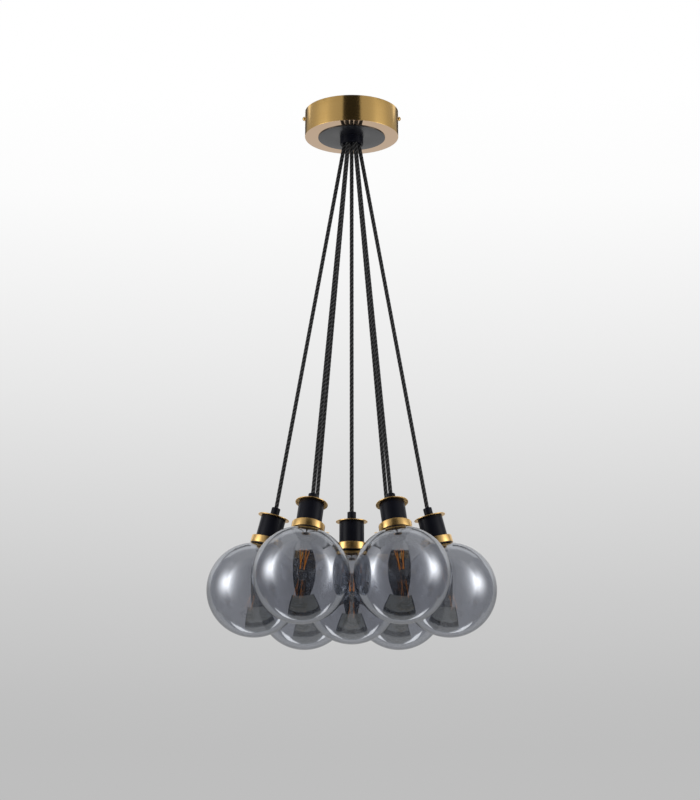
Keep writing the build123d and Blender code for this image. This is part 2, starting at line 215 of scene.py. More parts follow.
class PendantSizes(bpy.types.PropertyGroup):
    """The driving sizes of the light."""

    canopy_radius: length("Canopy radius", "Outside radius of the brass drum", 77.7)
    canopy_height: length("Canopy height", "Depth of the brass drum below the ceiling", 44.0)
    disc_radius: length("Disc radius", "Radius of the black cover disc under the drum", 55.7)
    cord_radius: length("Cord radius", "Radius of the cord, a little less than over its strands", 3.0)
    cord_circle: length("Cord circle", "Radius of the circle on which six cords leave the hub", 12.0)
    cord_length: length("Ring cord length", "Free length of each of the six outer cords", 626.0)
    centre_cord_length: length("Centre cord length", "Free length of the middle cord", 623.0)
    cord_lean: angle("Cord lean", "How far the outer cords lean from upright", 9.95)
    cord_pitch: length("Strand pitch", "Length of cord in which its strands turn once", 22.0)
    cord_strands: IntProperty(name="Strands", description="Strands twisted into each cord", default=3, min=2)
    lamp_tilt: angle("Lamp tilt", "How far the outer lamps tilt from upright", 14.6)
    grip_radius: length("Grip radius", "Radius of the black cord grip", 7.0)
    flange_radius: length("Flange radius", "Radius of the thin brass plate", 25.25)
    sleeve_radius: length("Sleeve radius", "Outside radius of the black sleeve", 19.75)
    sleeve_height: length("Sleeve height", "Height of the black sleeve", 35.0)
    collar_radius: length("Collar radius", "Outside radius of the brass collar", 25.75)
    collar_height: length("Collar height", "Height of the brass collar", 11.5)
    globe_radius: length("Globe radius", "Outside radius of each glass globe", 75.0)
    globe_wall: length("Globe wall", "Thickness of the blown glass", 1.8)


class PendantColours(bpy.types.PropertyGroup):
    """The colours of the light's finishes, as linear values."""

    brass: colour("Brass", "Satin brass of the canopy, flanges and collars", 0.86, 0.56, 0.20)
    brass_deep: colour("Deep brass", "Brass in the hollows of its brush lines", 0.72, 0.44, 0.13)
    # Pale brass: on the canopy's underside, a painted reflection of pale light from below; the lamp brass
    # also takes a little of it as tone.
    brass_pale: colour("Pale brass", "Polished underside of the canopy", 0.95, 0.68, 0.46)
    black: colour("Black", "Satin black coat of the sleeves, grips, hub and disc", 0.0045, 0.005, 0.009)
    cord: colour("Cord", "Black yarn of the cords", 0.005, 0.005, 0.0055)
    # Pale flecks on the cords: partly pale yarn, partly a painted highlight along one flank of each strand.
    cord_fleck_and_highlight: colour("Cord fleck", "Pale yarn in the cords", 0.085, 0.085, 0.085)
    smoke: colour("Smoke", "What one wall of the smoked glass lets through", 0.73, 0.735, 0.745)
    mirror: colour("Mirror", "What the glass's half mirror coat sends back", 0.86, 0.89, 0.95)
    holder: colour("Holder", "Moulded plastic of the lampholders", 0.022, 0.022, 0.024)
    filament: colour("Filament", "Amber coating of the lamp's filaments", 1.0, 0.32, 0.015)
    steel: colour("Steel", "Zinc plated steel of the bracket and nuts", 0.60, 0.61, 0.63)
    nylon: colour("Nylon", "Natural nylon of the terminal strips", 0.78, 0.77, 0.72)
    live_core: colour("Live core", "Brown insulation", 0.13, 0.045, 0.018)
    neutral_core: colour("Neutral core", "Blue insulation", 0.02, 0.09, 0.30)
    wall_top: colour("Wall top", "The background above", 1.0, 1.0, 1.0)
    wall_foot: colour("Wall foot", "The background below", 0.515, 0.515, 0.515)


# ---- node trees ----
class Value:
    """One socket of a node tree. Arithmetic on it adds Math nodes."""

    def __init__(self, nodes, socket):
        self.nodes = nodes
        self.socket = socket

    def maths(self, operation, *values):
        return self.nodes.add("ShaderNodeMath", {"operation": operation}, dict(enumerate(values)))

    def __add__(self, other):
        return self.maths("ADD", self, other)

    def __radd__(self, other):
        return self.maths("ADD", other, self)

    def __sub__(self, other):
        return self.maths("SUBTRACT", self, other)

    def __rsub__(self, other):
        return self.maths("SUBTRACT", other, self)

    def __mul__(self, other):
        return self.maths("MULTIPLY", self, other)

    def __rmul__(self, other):
        return self.maths("MULTIPLY", other, self)

    def __truediv__(self, other):
        return self.maths("DIVIDE", self, other)

    def __pow__(self, other):
        return self.maths("POWER", self, other)

    def __rpow__(self, other):
        return self.maths("POWER", other, self)

    def __neg__(self):
        return self.maths("MULTIPLY", self, -1.0)

    def __abs__(self):
        return self.maths("ABSOLUTE", self)

    def above(self, limit):
        """1 where the value is over the limit, and 0 elsewhere."""
        return self.maths("GREATER_THAN", self, limit)

    def sine(self):
        return self.maths("SINE", self)

    def cosine(self):
        return self.maths("COSINE", self)

    def highest(self, other):
        return self.maths("MAXIMUM", self, other)

    def ramp(self, low, high, out_low=0.0, out_high=1.0):
        """The value's way from low to high, eased and clamped, as a value from out_low to out_high."""
        settings = {"interpolation_type": "SMOOTHSTEP", "clamp": True}
        inputs = {0: self, 1: low, 2: high, 3: out_low, 4: out_high}
        return self.nodes.add("ShaderNodeMapRange", settings, inputs)


class Nodes:
    """A node tree with one way to add a node: its type, its settings, then its inputs."""

    def __init__(self, tree):
        self.tree = tree

    def add(self, kind, settings=(), inputs=(), output=0):
        node = self.tree.nodes.new(kind)
        for name, value in dict(settings).items():
            if name == "stops":
                self.set_stops(node.color_ramp, value)
            else:
                setattr(node, name, value)
        for key, value in dict(inputs).items():
            if isinstance(value, Value):
                self.tree.links.new(value.socket, node.inputs[key])
            else:
                node.inputs[key].default_value = value
        return Value(self, node.outputs[output]) if node.outputs else None

    def set_stops(self, ramp, stops):
        """Gives a colour ramp its stops, each a position and a colour."""
        while len(ramp.elements) < len(stops):
            ramp.elements.new(0.5)
        for element, (position, shade) in zip(ramp.elements, stops):
            element.position = position
            element.color = full(shade)

    def own_place(self):
        """A point's place on its own piece, before the piece is hung, as x, y and z."""
        place = self.add("ShaderNodeAttribute", {"attribute_name": "own_place"}, (), "Vector")
        return place, *self.split(place)

    def split(self, vector):
        node = self.add("ShaderNodeSeparateXYZ", (), {0: vector}).socket.node
        return [Value(self, socket) for socket in node.outputs]

    def vector(self, x, y, z):
        return self.add("ShaderNodeCombineXYZ", (), {0: x, 1: y, 2: z})

    def noise(self, vector, scale, detail=2.0, roughness=0.5):
        inputs = {"Vector": vector, "Scale": scale, "Detail": detail, "Roughness": roughness}
        return self.add("ShaderNodeTexNoise", (), inputs)

    def blend(self, factor, first, second):
        """A colour between two, each a colour or a socket."""
        inputs = {0: factor, 6: full(first), 7: full(second)}
        return self.add("ShaderNodeMix", {"data_type": "RGBA"}, inputs, 2)

    def bump(self, height, strength, distance):
        return self.add("ShaderNodeBump", (), {"Height": height, "Strength": strength, "Distance": distance})

    def principled(self, **inputs):
        """A Principled BSDF, with its inputs' names written with underscores."""
        named = {key.replace("_", " "): value for key, value in inputs.items()}
        return self.add("ShaderNodeBsdfPrincipled", (), named)


def full(shade):
    """A colour of three levels with its alpha, or a socket as it is."""
    return shade if isinstance(shade, Value) else (*shade[:3], 1.0)


def material(surface):
    """The material of a function that builds a surface. The CAD's own materials keep their names."""
    name = f"{surface.__name__}_finish"
    made = bpy.data.materials.get(name)
    if made is None:
        made = bpy.data.materials.new(name)
        made.use_nodes = True
        made.node_tree.nodes.clear()
        nodes = Nodes(made.node_tree)
        nodes.add("ShaderNodeOutputMaterial", (), {"Surface": surface(nodes)})
    return made


def colours():
    return bpy.context.scene.pendant_colours


# ---- finishes ----
def brass_surface(nodes, brushed, polish, paleness):
    """Brass turned on a lathe: fine lines run round the piece, over soft clouding."""
    place, x, y, z = nodes.own_place()
    lines = nodes.noise(nodes.vector(x * 9, y * 9, z * 5200), 1.0, 3.0, 0.6)
    cloud = nodes.noise(place, 38.0, 3.0)
    marks = nodes.noise(place, 900.0, 2.0)
    shade = nodes.blend(lines.ramp(0.35, 0.7) * 0.6 + cloud * 0.3, colours().brass, colours().brass_deep)
    return nodes.principled(
        Base_Color=nodes.blend(paleness, shade, colours().brass_pale),
        Metallic=1.0,
        Roughness=polish + lines.ramp(0.3, 0.8, 0.0, 0.08) + cloud.ramp(0.35, 0.75, 0.0, 0.06),
        Normal=nodes.bump(lines * 0.8 + marks * 0.2, brushed, 0.00002),
    )


def canopy_brass(nodes):
    """Satin brass round the drum, polished on its underside, where its paler colour is a painted reflection.
    """
    place, x, y, z = nodes.own_place()
    lines = nodes.noise(nodes.vector(x * 9, y * 9, z * 4600), 1.0, 3.0, 0.6)
    rings = nodes.noise(nodes.vector((x * x + y * y) ** 0.5 * 4600, 0.0, 0.0), 1.0, 2.0)
    cloud = nodes.noise(place, 21.0, 3.0)
    under = z.ramp(POLISH_AND_REFLECTION_STARTS, POLISH_AND_REFLECTION_FULL)
    grain = lines * (1.0 - under) + rings * under
    shade = nodes.blend(grain.ramp(0.35, 0.7) * 0.5 + cloud * 0.3, colours().brass, colours().brass_deep)
    return nodes.principled(
        # Painted reflection: the underside's paler, pinker brass stands in for pale light reflected from
        # below. Its lower roughness and rings are the real polish.
        Base_Color=nodes.blend(under, shade, colours().brass_pale),
        Metallic=1.0,
        Roughness=0.16 + cloud.ramp(0.35, 0.75, 0.0, 0.05) - under * 0.12,
        Normal=nodes.bump(grain * (1.0 - under * 0.9), 0.25, 0.00002),
    )


def lamp_brass(nodes):
    return brass_surface(nodes, brushed=0.3, polish=0.24, paleness=0.08)


def screw_brass(nodes):
    return brass_surface(nodes, brushed=0.15, polish=0.10, paleness=0.0)


def satin_coat(nodes, gloss):
    """Satin powder coat: black, with a fine orange peel under a thin clear coat."""
    place, *_ = nodes.own_place()
    peel = nodes.noise(place, 1500.0, 2.0)
    cloud = nodes.noise(place, 60.0, 3.0)
    shade = nodes.blend(cloud.ramp(0.3, 0.7), colours().black, [level * 1.35 for level in colours().black])
    return nodes.principled(
        Base_Color=shade,
        Roughness=0.36 + peel.ramp(0.3, 0.8, 0.0, 0.08),
        Specular_IOR_Level=0.12 + gloss * 0.2,
        Coat_Weight=gloss,
        Coat_Roughness=0.22,
        Normal=nodes.bump(peel, 0.10, 0.00003),
    )


def black_satin(nodes):
    return satin_coat(nodes, gloss=0.03)


def black_disc(nodes):
    return satin_coat(nodes, gloss=0.85)


def holder_plastic(nodes):
    """Moulded black plastic with a slight sheen."""
    place, *_ = nodes.own_place()
    grain = nodes.noise(place, 2200.0, 2.0)
    flow = nodes.noise(place, 90.0, 3.0)
    shade = nodes.blend(flow.ramp(0.3, 0.7), colours().holder, [level * 1.6 for level in colours().holder])
    return nodes.principled(
        Base_Color=shade,
        Roughness=0.42 + grain.ramp(0.3, 0.8, 0.0, 0.1),
        Normal=nodes.bump(grain, 0.12, 0.00003),
    )


def zinc_steel(nodes):
    """Zinc plated steel with a crystalline bloom and fine scratches."""
    place, x, y, z = nodes.own_place()
    bloom = nodes.noise(place, 160.0, 4.0)
    scratch = nodes.noise(nodes.vector(x * 2600, y * 90, z * 90), 1.0, 2.0)
    shade = nodes.blend(bloom.ramp(0.3, 0.7), colours().steel, [level * 0.78 for level in colours().steel])
    return nodes.principled(
        Base_Color=shade,
        Metallic=1.0,
        Roughness=0.28 + bloom.ramp(0.3, 0.7, 0.0, 0.14),
        Normal=nodes.bump(scratch + bloom * 0.5, 0.15, 0.00003),
    )


def nickel_cap(nodes):
    """Nickel plated brass of a lamp's cap and wires."""
    place, *_ = nodes.own_place()
    bloom = nodes.noise(place, 300.0, 3.0)
    shade = nodes.blend(bloom.ramp(0.3, 0.7), (0.66, 0.63, 0.58), (0.54, 0.51, 0.46))
    return nodes.principled(Base_Color=shade, Metallic=1.0, Roughness=0.2 + bloom * 0.12)


def moulded(nodes, shade, roughness):
    """Matte moulded nylon or rubber in one colour, with a fine grain."""
    place, *_ = nodes.own_place()
    grain = nodes.noise(place, 1800.0, 2.0)
    flow = nodes.noise(place, 110.0, 3.0)
    return nodes.principled(
        Base_Color=nodes.blend(flow.ramp(0.3, 0.7), shade, [level * 0.84 for level in shade]),
        Roughness=roughness + grain * 0.1,
        Normal=nodes.bump(grain, 0.15, 0.00003),
    )


def clamp_plastic(nodes):
    return moulded(nodes, (0.022, 0.022, 0.023), roughness=0.5)


def terminal_nylon(nodes):
    return moulded(nodes, colours().nylon, roughness=0.45)


def lead_jacket(nodes):
    return moulded(nodes, (0.02, 0.02, 0.02), roughness=0.55)


def live_core(nodes):
    return moulded(nodes, colours().live_core, roughness=0.4)


def neutral_core(nodes):
    return moulded(nodes, colours().neutral_core, roughness=0.4)


def cord_fabric(nodes):
    """Twisted textile cord: each strand is a fine braid of black yarn with a few pale ones, and a painted
    highlight runs in pale flecks along one flank of each strand.
    """
    along = nodes.add("ShaderNodeAttribute", {"attribute_name": "cord_run"}, (), "Fac")
    around = nodes.add("ShaderNodeAttribute", {"attribute_name": "cord_side"}, (), "Vector")
    across, up, _ = nodes.split(around)
    side = up.maths("ARCTAN2", up, across)
    braid = TURN / CORD_BRAID
    left = (side * 15.0 + along * braid).sine()
    right = (side * 15.0 - along * braid).sine()
    yarn = left.highest(right)
    # Pale flecks along one flank of each strand, broken up by the yarn: partly pale yarn, partly a painted
    # highlight.
    flank = (side * 3.0 + 1.1).sine().ramp(0.1, 0.9)
    fuzz = nodes.noise(nodes.vector(across * 3, up * 3, along * 1400), 1.0, 3.0)
    fleck_and_highlight = flank * (0.55 + left.ramp(-0.4, 0.8) * 0.45) * fuzz.ramp(0.0, 0.5)
    shade = nodes.blend(yarn.ramp(-0.2, 1.0), [level * 0.5 for level in colours().cord], colours().cord)
    shade = nodes.blend(fleck_and_highlight, shade, colours().cord_fleck_and_highlight)
    return nodes.principled(
        Base_Color=shade,
        Roughness=0.60 + fuzz * 0.2,
        Specular_IOR_Level=0.35,
        Sheen_Weight=0.12,
        Sheen_Roughness=0.45,
        Normal=nodes.bump(yarn + fuzz * 0.4, 0.4, 0.00010),
    )


def mirrored(nodes, least, grazing, tint, edge, shine, roughness, normal=None):
    """A see-through skin that mirrors a share of the light and darkens where it is seen edge on."""
    facing = nodes.add("ShaderNodeLayerWeight", (), {"Blend": 0.5}, "Facing")
    share = least + facing**9 * grazing
    middle = nodes.add("ShaderNodeBsdfTransparent", (), {"Color": full(tint)})
    rim = nodes.add("ShaderNodeBsdfTransparent", (), {"Color": full([level * edge for level in tint])})
    through = nodes.add("ShaderNodeMixShader", (), {0: facing.ramp(0.66, 0.88), 1: middle, 2: rim})
    inputs = {"Base Color": full(shine), "Metallic": 1.0, "Roughness": roughness}
    if normal is not None:
        inputs["Normal"] = normal
    back = nodes.add("ShaderNodeBsdfPrincipled", (), inputs)
    return nodes.add("ShaderNodeMixShader", (), {0: share, 1: through, 2: back})


def smoked_glass(nodes):
    """Smoke grey glass with a half mirror coat; the blown wall wavers a little."""
    place, *_ = nodes.own_place()
    waver = nodes.noise(place, 14.0, 1.0)
    return mirrored(
        nodes,
        least=0.27,
        grazing=0.60,
        tint=colours().smoke,
        edge=0.45,
        shine=colours().mirror,
        roughness=0.012,
        normal=nodes.bump(waver, 0.25, 0.0006),
    )


def smoked_glass_inside(nodes):
    """The uncoated inner face of a globe."""
    return mirrored(
        nodes,
        least=0.04,
        grazing=0.10,
        tint=(1.0, 1.0, 1.0),
        edge=0.10,
        shine=(0.92, 0.92, 0.94),
        roughness=0.01,
    )


def lamp_glass(nodes):
    """Clear glass of a candle lamp."""
    return mirrored(
        nodes,
        least=0.04,
        grazing=0.8,
        tint=(0.985, 0.985, 0.985),
        edge=0.6,
        shine=(0.95, 0.95, 0.95),
        roughness=0.02,
    )


def stem_glass(nodes):
    """Thick clear glass of a lamp's stem."""
    return mirrored(
        nodes,
        least=0.10,
        grazing=0.7,
        tint=(0.86, 0.87, 0.87),
        edge=0.6,
        shine=(0.95, 0.95, 0.95),
        roughness=0.03,
    )


def filament_amber(nodes):
    """Amber filament coating with a spiral of closer and wider turns, glowing faintly."""
    place, *_, z = nodes.own_place()
    grain = nodes.noise(place, 2400.0, 2.0)
    turns = (z * (TURN / FILAMENT_WIND)).sine()
    amber = colours().filament
    shade = nodes.blend(grain.ramp(0.3, 0.7), amber, [level * 0.7 for level in amber])
    glow = nodes.blend(turns.ramp(-1.0, 1.0), [level * 0.55 for level in amber], amber)
    return nodes.principled(Base_Color=shade, Roughness=0.6, Emission_Color=glow, Emission_Strength=0.7)


# ---- meshes ----
def soften(corners, closed):
    """A profile's points from its corners (radius, down, rounding), with rounded corners as curves."""
    steps = 4
    points = []
    for n, (radius, down, rounding) in enumerate(corners):
        corner = Vector((radius, down))
        if rounding == 0 or (not closed and n in (0, len(corners) - 1)):
            points.append(corner)
            continue
        before = Vector(corners[n - 1][:2]) - corner
        after = Vector(corners[(n + 1) % len(corners)][:2]) - corner
        reach = min(rounding / math.tan(before.angle(after) / 2), before.length * 0.49, after.length * 0.49)
        first = corner + before.normalized() * reach
        last = corner + after.normalized() * reach
        for step in range(steps + 1):
            share = step / steps
            points.append(first.lerp(corner, share).lerp(corner.lerp(last, share), share))
    return [(max(point.x, 0.0), point.y) for point in points]


def turned(name, profile, place, closed=False, segments=72, inner_from=None):
    """A profile of (radius, down) points turned about a lamp's axis. It ends on the axis, or is closed."""
    mesh = bpy.data.meshes.new(name)
    work = bmesh.new()
    rings = []
    for radius, down in profile:
        if radius < 1e-7:
            rings.append([work.verts.new((0.0, 0.0, -down))] * segments)
        else:
            turns = [TURN * n / segments for n in range(segments)]
            rings.append([work.verts.new((radius * math.cos(t), radius * math.sin(t), -down)) for t in turns])
    pairs = list(zip(rings, rings[1:] + rings[:1]))
    for row, (upper, lower) in enumerate(pairs if closed else pairs[:-1]):
        if upper[0] == upper[1] and lower[0] == lower[1]:
            continue
        for n in range(segments):
            corners = [upper[n], upper[(n + 1) % segments], lower[(n + 1) % segments], lower[n]]
            face = work.faces.new(list(dict.fromkeys(corners)))
            face.material_index = int(inner_from is not None and row >= inner_from)
    return finished_mesh(mesh, work, place)


def finished_mesh(mesh, work, place):
    """Writes a worked mesh, remembers each point's own place, then hangs it where it belongs."""
    if work.calc_volume(signed=True) < 0:
        bmesh.ops.reverse_faces(work, faces=work.faces)
    work.to_mesh(mesh)
    work.free()
    hang(mesh, place)
    mesh.polygons.foreach_set("use_smooth", [True] * len(mesh.polygons))
    mesh.set_sharp_from_angle(angle=SHARP)
    return mesh


def hang(mesh, place):
    """Remembers each point's own place on the piece, then moves the mesh to where the piece hangs."""
    own = mesh.attributes.get("own_place") or mesh.attributes.new("own_place", "FLOAT_VECTOR", "POINT")
    own.data.foreach_set("vector", [level for vertex in mesh.vertices for level in vertex.co])
    mesh.transform(place)


def merged_copy(name, node):
    """A copy of a CAD node's mesh with its loose triangles joined."""
    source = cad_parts[node].data
    mesh = bpy.data.meshes.new(name)
    mesh.from_pydata([v.co for v in source.vertices], [], [list(p.vertices) for p in source.polygons])
    work = bmesh.new()
    work.from_mesh(mesh)
    bmesh.ops.remove_doubles(work, verts=work.verts, dist=MERGE)
    return finished_mesh(mesh, work, Matrix.Identity(4))


def joined(name, meshes):
    """One mesh out of several, with its own list of materials left empty."""
    whole = bmesh.new()
    for mesh in meshes:
        whole.from_mesh(mesh)
    made = bpy.data.meshes.new(name)
    whole.to_mesh(made)
    whole.free()
    return made


def piece(name, mesh, body, slot, replaced, *materials):
    """Adds a finished mesh as a piece that rides its body, and hides the CAD nodes that it takes the place
    of.
    """
    made = bpy.data.objects.new(name, mesh)
    bpy.context.scene.collection.objects.link(made)
    mesh.materials.clear()
    for finish in materials:
        mesh.materials.append(finish)
    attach(made, body)
    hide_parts(*replaced)
    return made


def grown(name, build, values, base=None):
    """Builds a geometry tree with named inputs, runs it on a base mesh, and gives the plain mesh it makes."""
    kinds = {float: "NodeSocketFloat", int: "NodeSocketInt", bpy.types.Material: "NodeSocketMaterial"}
    tree = bpy.data.node_groups.new(name, "GeometryNodeTree")
    tree.interface.new_socket("Geometry", in_out="INPUT", socket_type="NodeSocketGeometry")
    identifiers = {}
    for label, value in values.items():
        socket = tree.interface.new_socket(label, in_out="INPUT", socket_type=kinds[type(value)])
        identifiers[label] = socket.identifier
    tree.interface.new_socket("Geometry", in_out="OUTPUT", socket_type="NodeSocketGeometry")
    nodes = Nodes(tree)
    start = tree.nodes.new("NodeGroupInput")
    inputs = {socket.name: Value(nodes, socket) for socket in start.outputs if socket.name}
    shape = nodes.add("GeometryNodeRealizeInstances", (), {"Geometry": build(nodes, inputs)})
    shape = nodes.add("GeometryNodeSetMaterial", (), {"Geometry": shape, "Material": inputs["Finish"]})
    nodes.add("NodeGroupOutput", (), {"Geometry": shape})
    holder = bpy.data.objects.new(name, base or bpy.data.meshes.new(name))
    bpy.context.scene.collection.objects.link(holder)
    modifier = holder.modifiers.new(name, "NODES")
    modifier.node_group = tree
    for label, value in values.items():
        modifier[identifiers[label]] = value
    depsgraph = bpy.context.evaluated_depsgraph_get()
    made = bpy.data.meshes.new_from_object(holder.evaluated_get(depsgraph))
    bpy.data.objects.remove(holder)
    if not made.vertices:
        raise RuntimeError(f"{name} came out empty")
    return made


# ---- where things hang ----
def hub_bottom(sizes):
    return -sizes.canopy_height - DISC_THICKNESS - HUB_HEIGHT


def ring_turn(key):
    """The turn about the light's axis of one ring pendant."""
    return Matrix.Rotation(TURN * RING.index(key) / len(RING), 4, "Z")


def lamp_place(sizes, key):
    """A lamp's own frame: its origin at the top of the cord grip, and -Z down the lamp."""
    if key == "centre":
        return Matrix.Translation((0.0, 0.0, hub_bottom(sizes) - sizes.centre_cord_length))
    reach = sizes.cord_circle + sizes.cord_length * math.sin(sizes.cord_lean)
    drop = hub_bottom(sizes) - sizes.cord_length * math.cos(sizes.cord_lean)
    tilted = Matrix.Rotation(-sizes.lamp_tilt, 4, "Y")
    return ring_turn(key) @ Matrix.Translation((reach, 0.0, drop)) @ tilted


def cord_route(sizes, key):
    """A cord's route from the hub into its grip. A ring cord turns a little at the grip's top."""
    place = lamp_place(sizes, key)
    grip_top = place @ Vector((0.0, 0.0, 0.0))
    end = place @ Vector((0.0, 0.0, -CORD_IN_GRIP))
    if key == "centre":
        return [Vector((0.0, 0.0, hub_bottom(sizes))), end]
    top = ring_turn(key) @ Vector((sizes.cord_circle, 0.0, hub_bottom(sizes)))
    before = grip_top + (top - grip_top).normalized() * CORD_IN_GRIP
    return [top, before, grip_top, end]


# ---- camera and cords ----
def route_points(name, route):
    """The points of a smooth line along a route."""
    curve = bpy.data.curves.new(name, "CURVE")
    curve.dimensions = "3D"
    spline = curve.splines.new("NURBS")
    spline.points.add(len(route) - 1)
    for point, place in zip(spline.points, route):
        point.co = (*place, 1.0)
    spline.order_u = min(3, len(route))
    spline.use_endpoint_u = True
    spline.resolution_u = 16
    holder = bpy.data.objects.new(name, curve)
    bpy.context.scene.collection.objects.link(holder)
    depsgraph = bpy.context.evaluated_depsgraph_get()
    line = bpy.data.meshes.new_from_object(holder.evaluated_get(depsgraph))
    points = [vertex.co.copy() for vertex in line.vertices]
    bpy.data.objects.remove(holder)
    bpy.data.curves.remove(curve)
    bpy.data.meshes.remove(line)
    return points


def twisted_cord(nodes, inputs):
    """Strands twisted along a path: an outline with a lobe for each strand, which turns as it goes."""
    path = nodes.add("GeometryNodeMeshToCurve", (), {"Mesh": inputs["Geometry"]})
    step = {"Curve": path, "Length": inputs["Ring step"]}
    path = nodes.add("GeometryNodeResampleCurve", {"mode": "LENGTH"}, step)
    run = nodes.add("GeometryNodeSplineParameter", (), (), "Length")
    twist = run * TURN / inputs["Pitch"]
    path = nodes.add("GeometryNodeSetCurveTilt", (), {"Curve": path, "Tilt": twist})
    path = named(nodes, path, "cord_run", "FLOAT", run)
    ring = {"Resolution": inputs["Sides"], "Radius": 1.0}
    outline = nodes.add("GeometryNodeCurvePrimitiveCircle", (), ring)
    side = nodes.add("GeometryNodeInputIndex") * TURN / inputs["Sides"]
    lobe = abs((side * inputs["Strands"] / 2.0).cosine()) ** 0.8
    reach = inputs["Radius"] * (CORD_BODY + lobe * CORD_LOBE)
    around = nodes.vector(side.cosine() * reach, side.sine() * reach, 0.0)
    outline = nodes.add("GeometryNodeSetPosition", (), {"Geometry": outline, "Position": around})
    outwards = nodes.vector(side.cosine(), side.sine(), 0.0)
    outline = named(nodes, outline, "cord_side", "FLOAT_VECTOR", outwards)
    tube = {"Curve": path, "Profile Curve": outline, "Fill Caps": True}
    return nodes.add("GeometryNodeCurveToMesh", (), tube)


def named(nodes, geometry, name, kind, value):
    """Keeps a value on the geometry's points under a name."""
    inputs = {"Geometry": geometry, "Name": name, "Value": value}
    return nodes.add("GeometryNodeStoreNamedAttribute", {"data_type": kind, "domain": "POINT"}, inputs)


def fabric_cord(sizes, key):
    """One cord with its strands, from the hub to its grip."""
    name = f"fabric_cord_{key}"
    points = route_points(name, cord_route(sizes, key))
    line = bpy.data.meshes.new(name)
    line.from_pydata(points, [(n, n + 1) for n in range(len(points) - 1)], [])
    finish = material(cord_fabric)
    values = {
        "Radius": sizes.cord_radius,
        "Pitch": sizes.cord_pitch,
        "Strands": sizes.cord_strands,
        "Sides": CORD_SIDES,
        "Ring step": CORD_STEP,
        "Finish": finish,
    }
    mesh = grown(name, twisted_cord, values, line)
    work = bmesh.new()
    work.from_mesh(mesh)
    mesh = finished_mesh(mesh, work, Matrix.Identity(4))
    made = piece(name, mesh, f"pendant_{key}", "cord_fabric", [f"cord_{key}"], finish)


# ---- canopy ----
def canopy_cup(sizes):
    """The brass drum, open to the ceiling, with its hub hole and its two screw holes."""
    radius = sizes.canopy_radius
    height = sizes.canopy_height
    corners = [
        (radius, 0.0, 0.15 * MM),
        (radius, height, CANOPY_EDGE),
        (SPIGOT_HOLE, height, 0.1 * MM),
        (SPIGOT_HOLE, height - CANOPY_WALL, 0.1 * MM),
        (radius - CANOPY_WALL, height - CANOPY_WALL, 0.3 * MM),
        (radius - CANOPY_WALL, 0.0, 0.15 * MM),
    ]
    mesh = turned("brass_drum", soften(corners, True), Matrix.Identity(4), closed=True, segments=192)
    reach = 1.5 * radius
    hole = [(0.0, -reach), (SIDE_SCREW_HOLE, -reach), (SIDE_SCREW_HOLE, reach), (0.0, reach)]
    across = Matrix.Translation((0.0, 0.0, -SIDE_SCREW_DROP)) @ Matrix.Rotation(math.pi / 2, 4, "Y")
    mesh = cut(mesh, turned("screw_holes", hole, across, segments=32))
    finish = material(canopy_brass)
    piece("brass_drum", mesh, "canopy", "canopy_brass", ["canopy_cup"], finish)


def cut(mesh, tool):
    """A mesh with another cut out of it."""
    body = bpy.data.objects.new("cut_body", mesh)
    knife = bpy.data.objects.new("cut_tool", tool)
    for part in (body, knife):
        bpy.context.scene.collection.objects.link(part)
    modifier = body.modifiers.new("cut", "BOOLEAN")
    modifier.operation = "DIFFERENCE"
    modifier.solver = "EXACT"
    modifier.object = knife
    depsgraph = bpy.context.evaluated_depsgraph_get()
    made = bpy.data.meshes.new_from_object(body.evaluated_get(depsgraph))
    bpy.data.objects.remove(body)
    bpy.data.objects.remove(knife)
    work = bmesh.new()
    work.from_mesh(made)
    return finished_mesh(made, work, Matrix.Identity(4))


def canopy_disc(sizes):
    """The black cover disc, its lower edge chamfered."""
    top = sizes.canopy_height
    bottom = top + DISC_THICKNESS
    corners = [
        (SPIGOT_HOLE, top, 0.0),
        (SPIGOT_HOLE, bottom, 0.1 * MM),
        (sizes.disc_radius, bottom, 0.4 * MM),
        (sizes.disc_radius, top, 0.0),
    ]
    mesh = turned("cover_disc", soften(corners, True), Matrix.Identity(4), closed=True, segments=160)
    piece("cover_disc", mesh, "canopy", "black_satin", ["canopy_disc"], material(black_disc))


def side_screw(sizes, side, sign):
    """A domed brass screw with a shouldered head."""
    head = SIDE_SCREW_HEAD
    dome = SIDE_SCREW_DOME
    flat = sizes.canopy_radius + SIDE_SCREW_GAP
    steps = 12
    cap = dome - 1.0 * MM
    sphere = (head**2 + cap**2) / (2 * cap)
    swing = math.asin(head / sphere)
    arc = [sphere * math.sin(swing * n / steps) for n in range(steps + 1)]
    crown = [(r, -(dome - sphere + math.sqrt(sphere**2 - r**2))) for r in arc]
    shank = [
        (head, -0.15 * MM),
        (head - 0.2 * MM, 0.0),
        (SIDE_SCREW_SHANK, 0.0),
        (SIDE_SCREW_SHANK, SIDE_SCREW_LENGTH - 0.4 * MM),
        (SIDE_SCREW_SHANK - 0.4 * MM, SIDE_SCREW_LENGTH),
        (0.0, SIDE_SCREW_LENGTH),
    ]
    outwards = Matrix.Rotation(sign * math.pi / 2, 4, "Y")
    place = Matrix.Translation((sign * flat, 0.0, -SIDE_SCREW_DROP)) @ outwards
    mesh = turned(f"domed_screw_{side}", crown + shank, place, segments=48)
    finish = material(screw_brass)
    piece(f"domed_screw_{side}", mesh, f"screw_{side}", "screw_brass", [f"side_screw_{side}"], finish)


def carried(name, node, slot, surface):
    """A canopy piece whose CAD shape is kept, joined and finished."""
    piece(name, merged_copy(name, node), "canopy", slot, [node], material(surface))


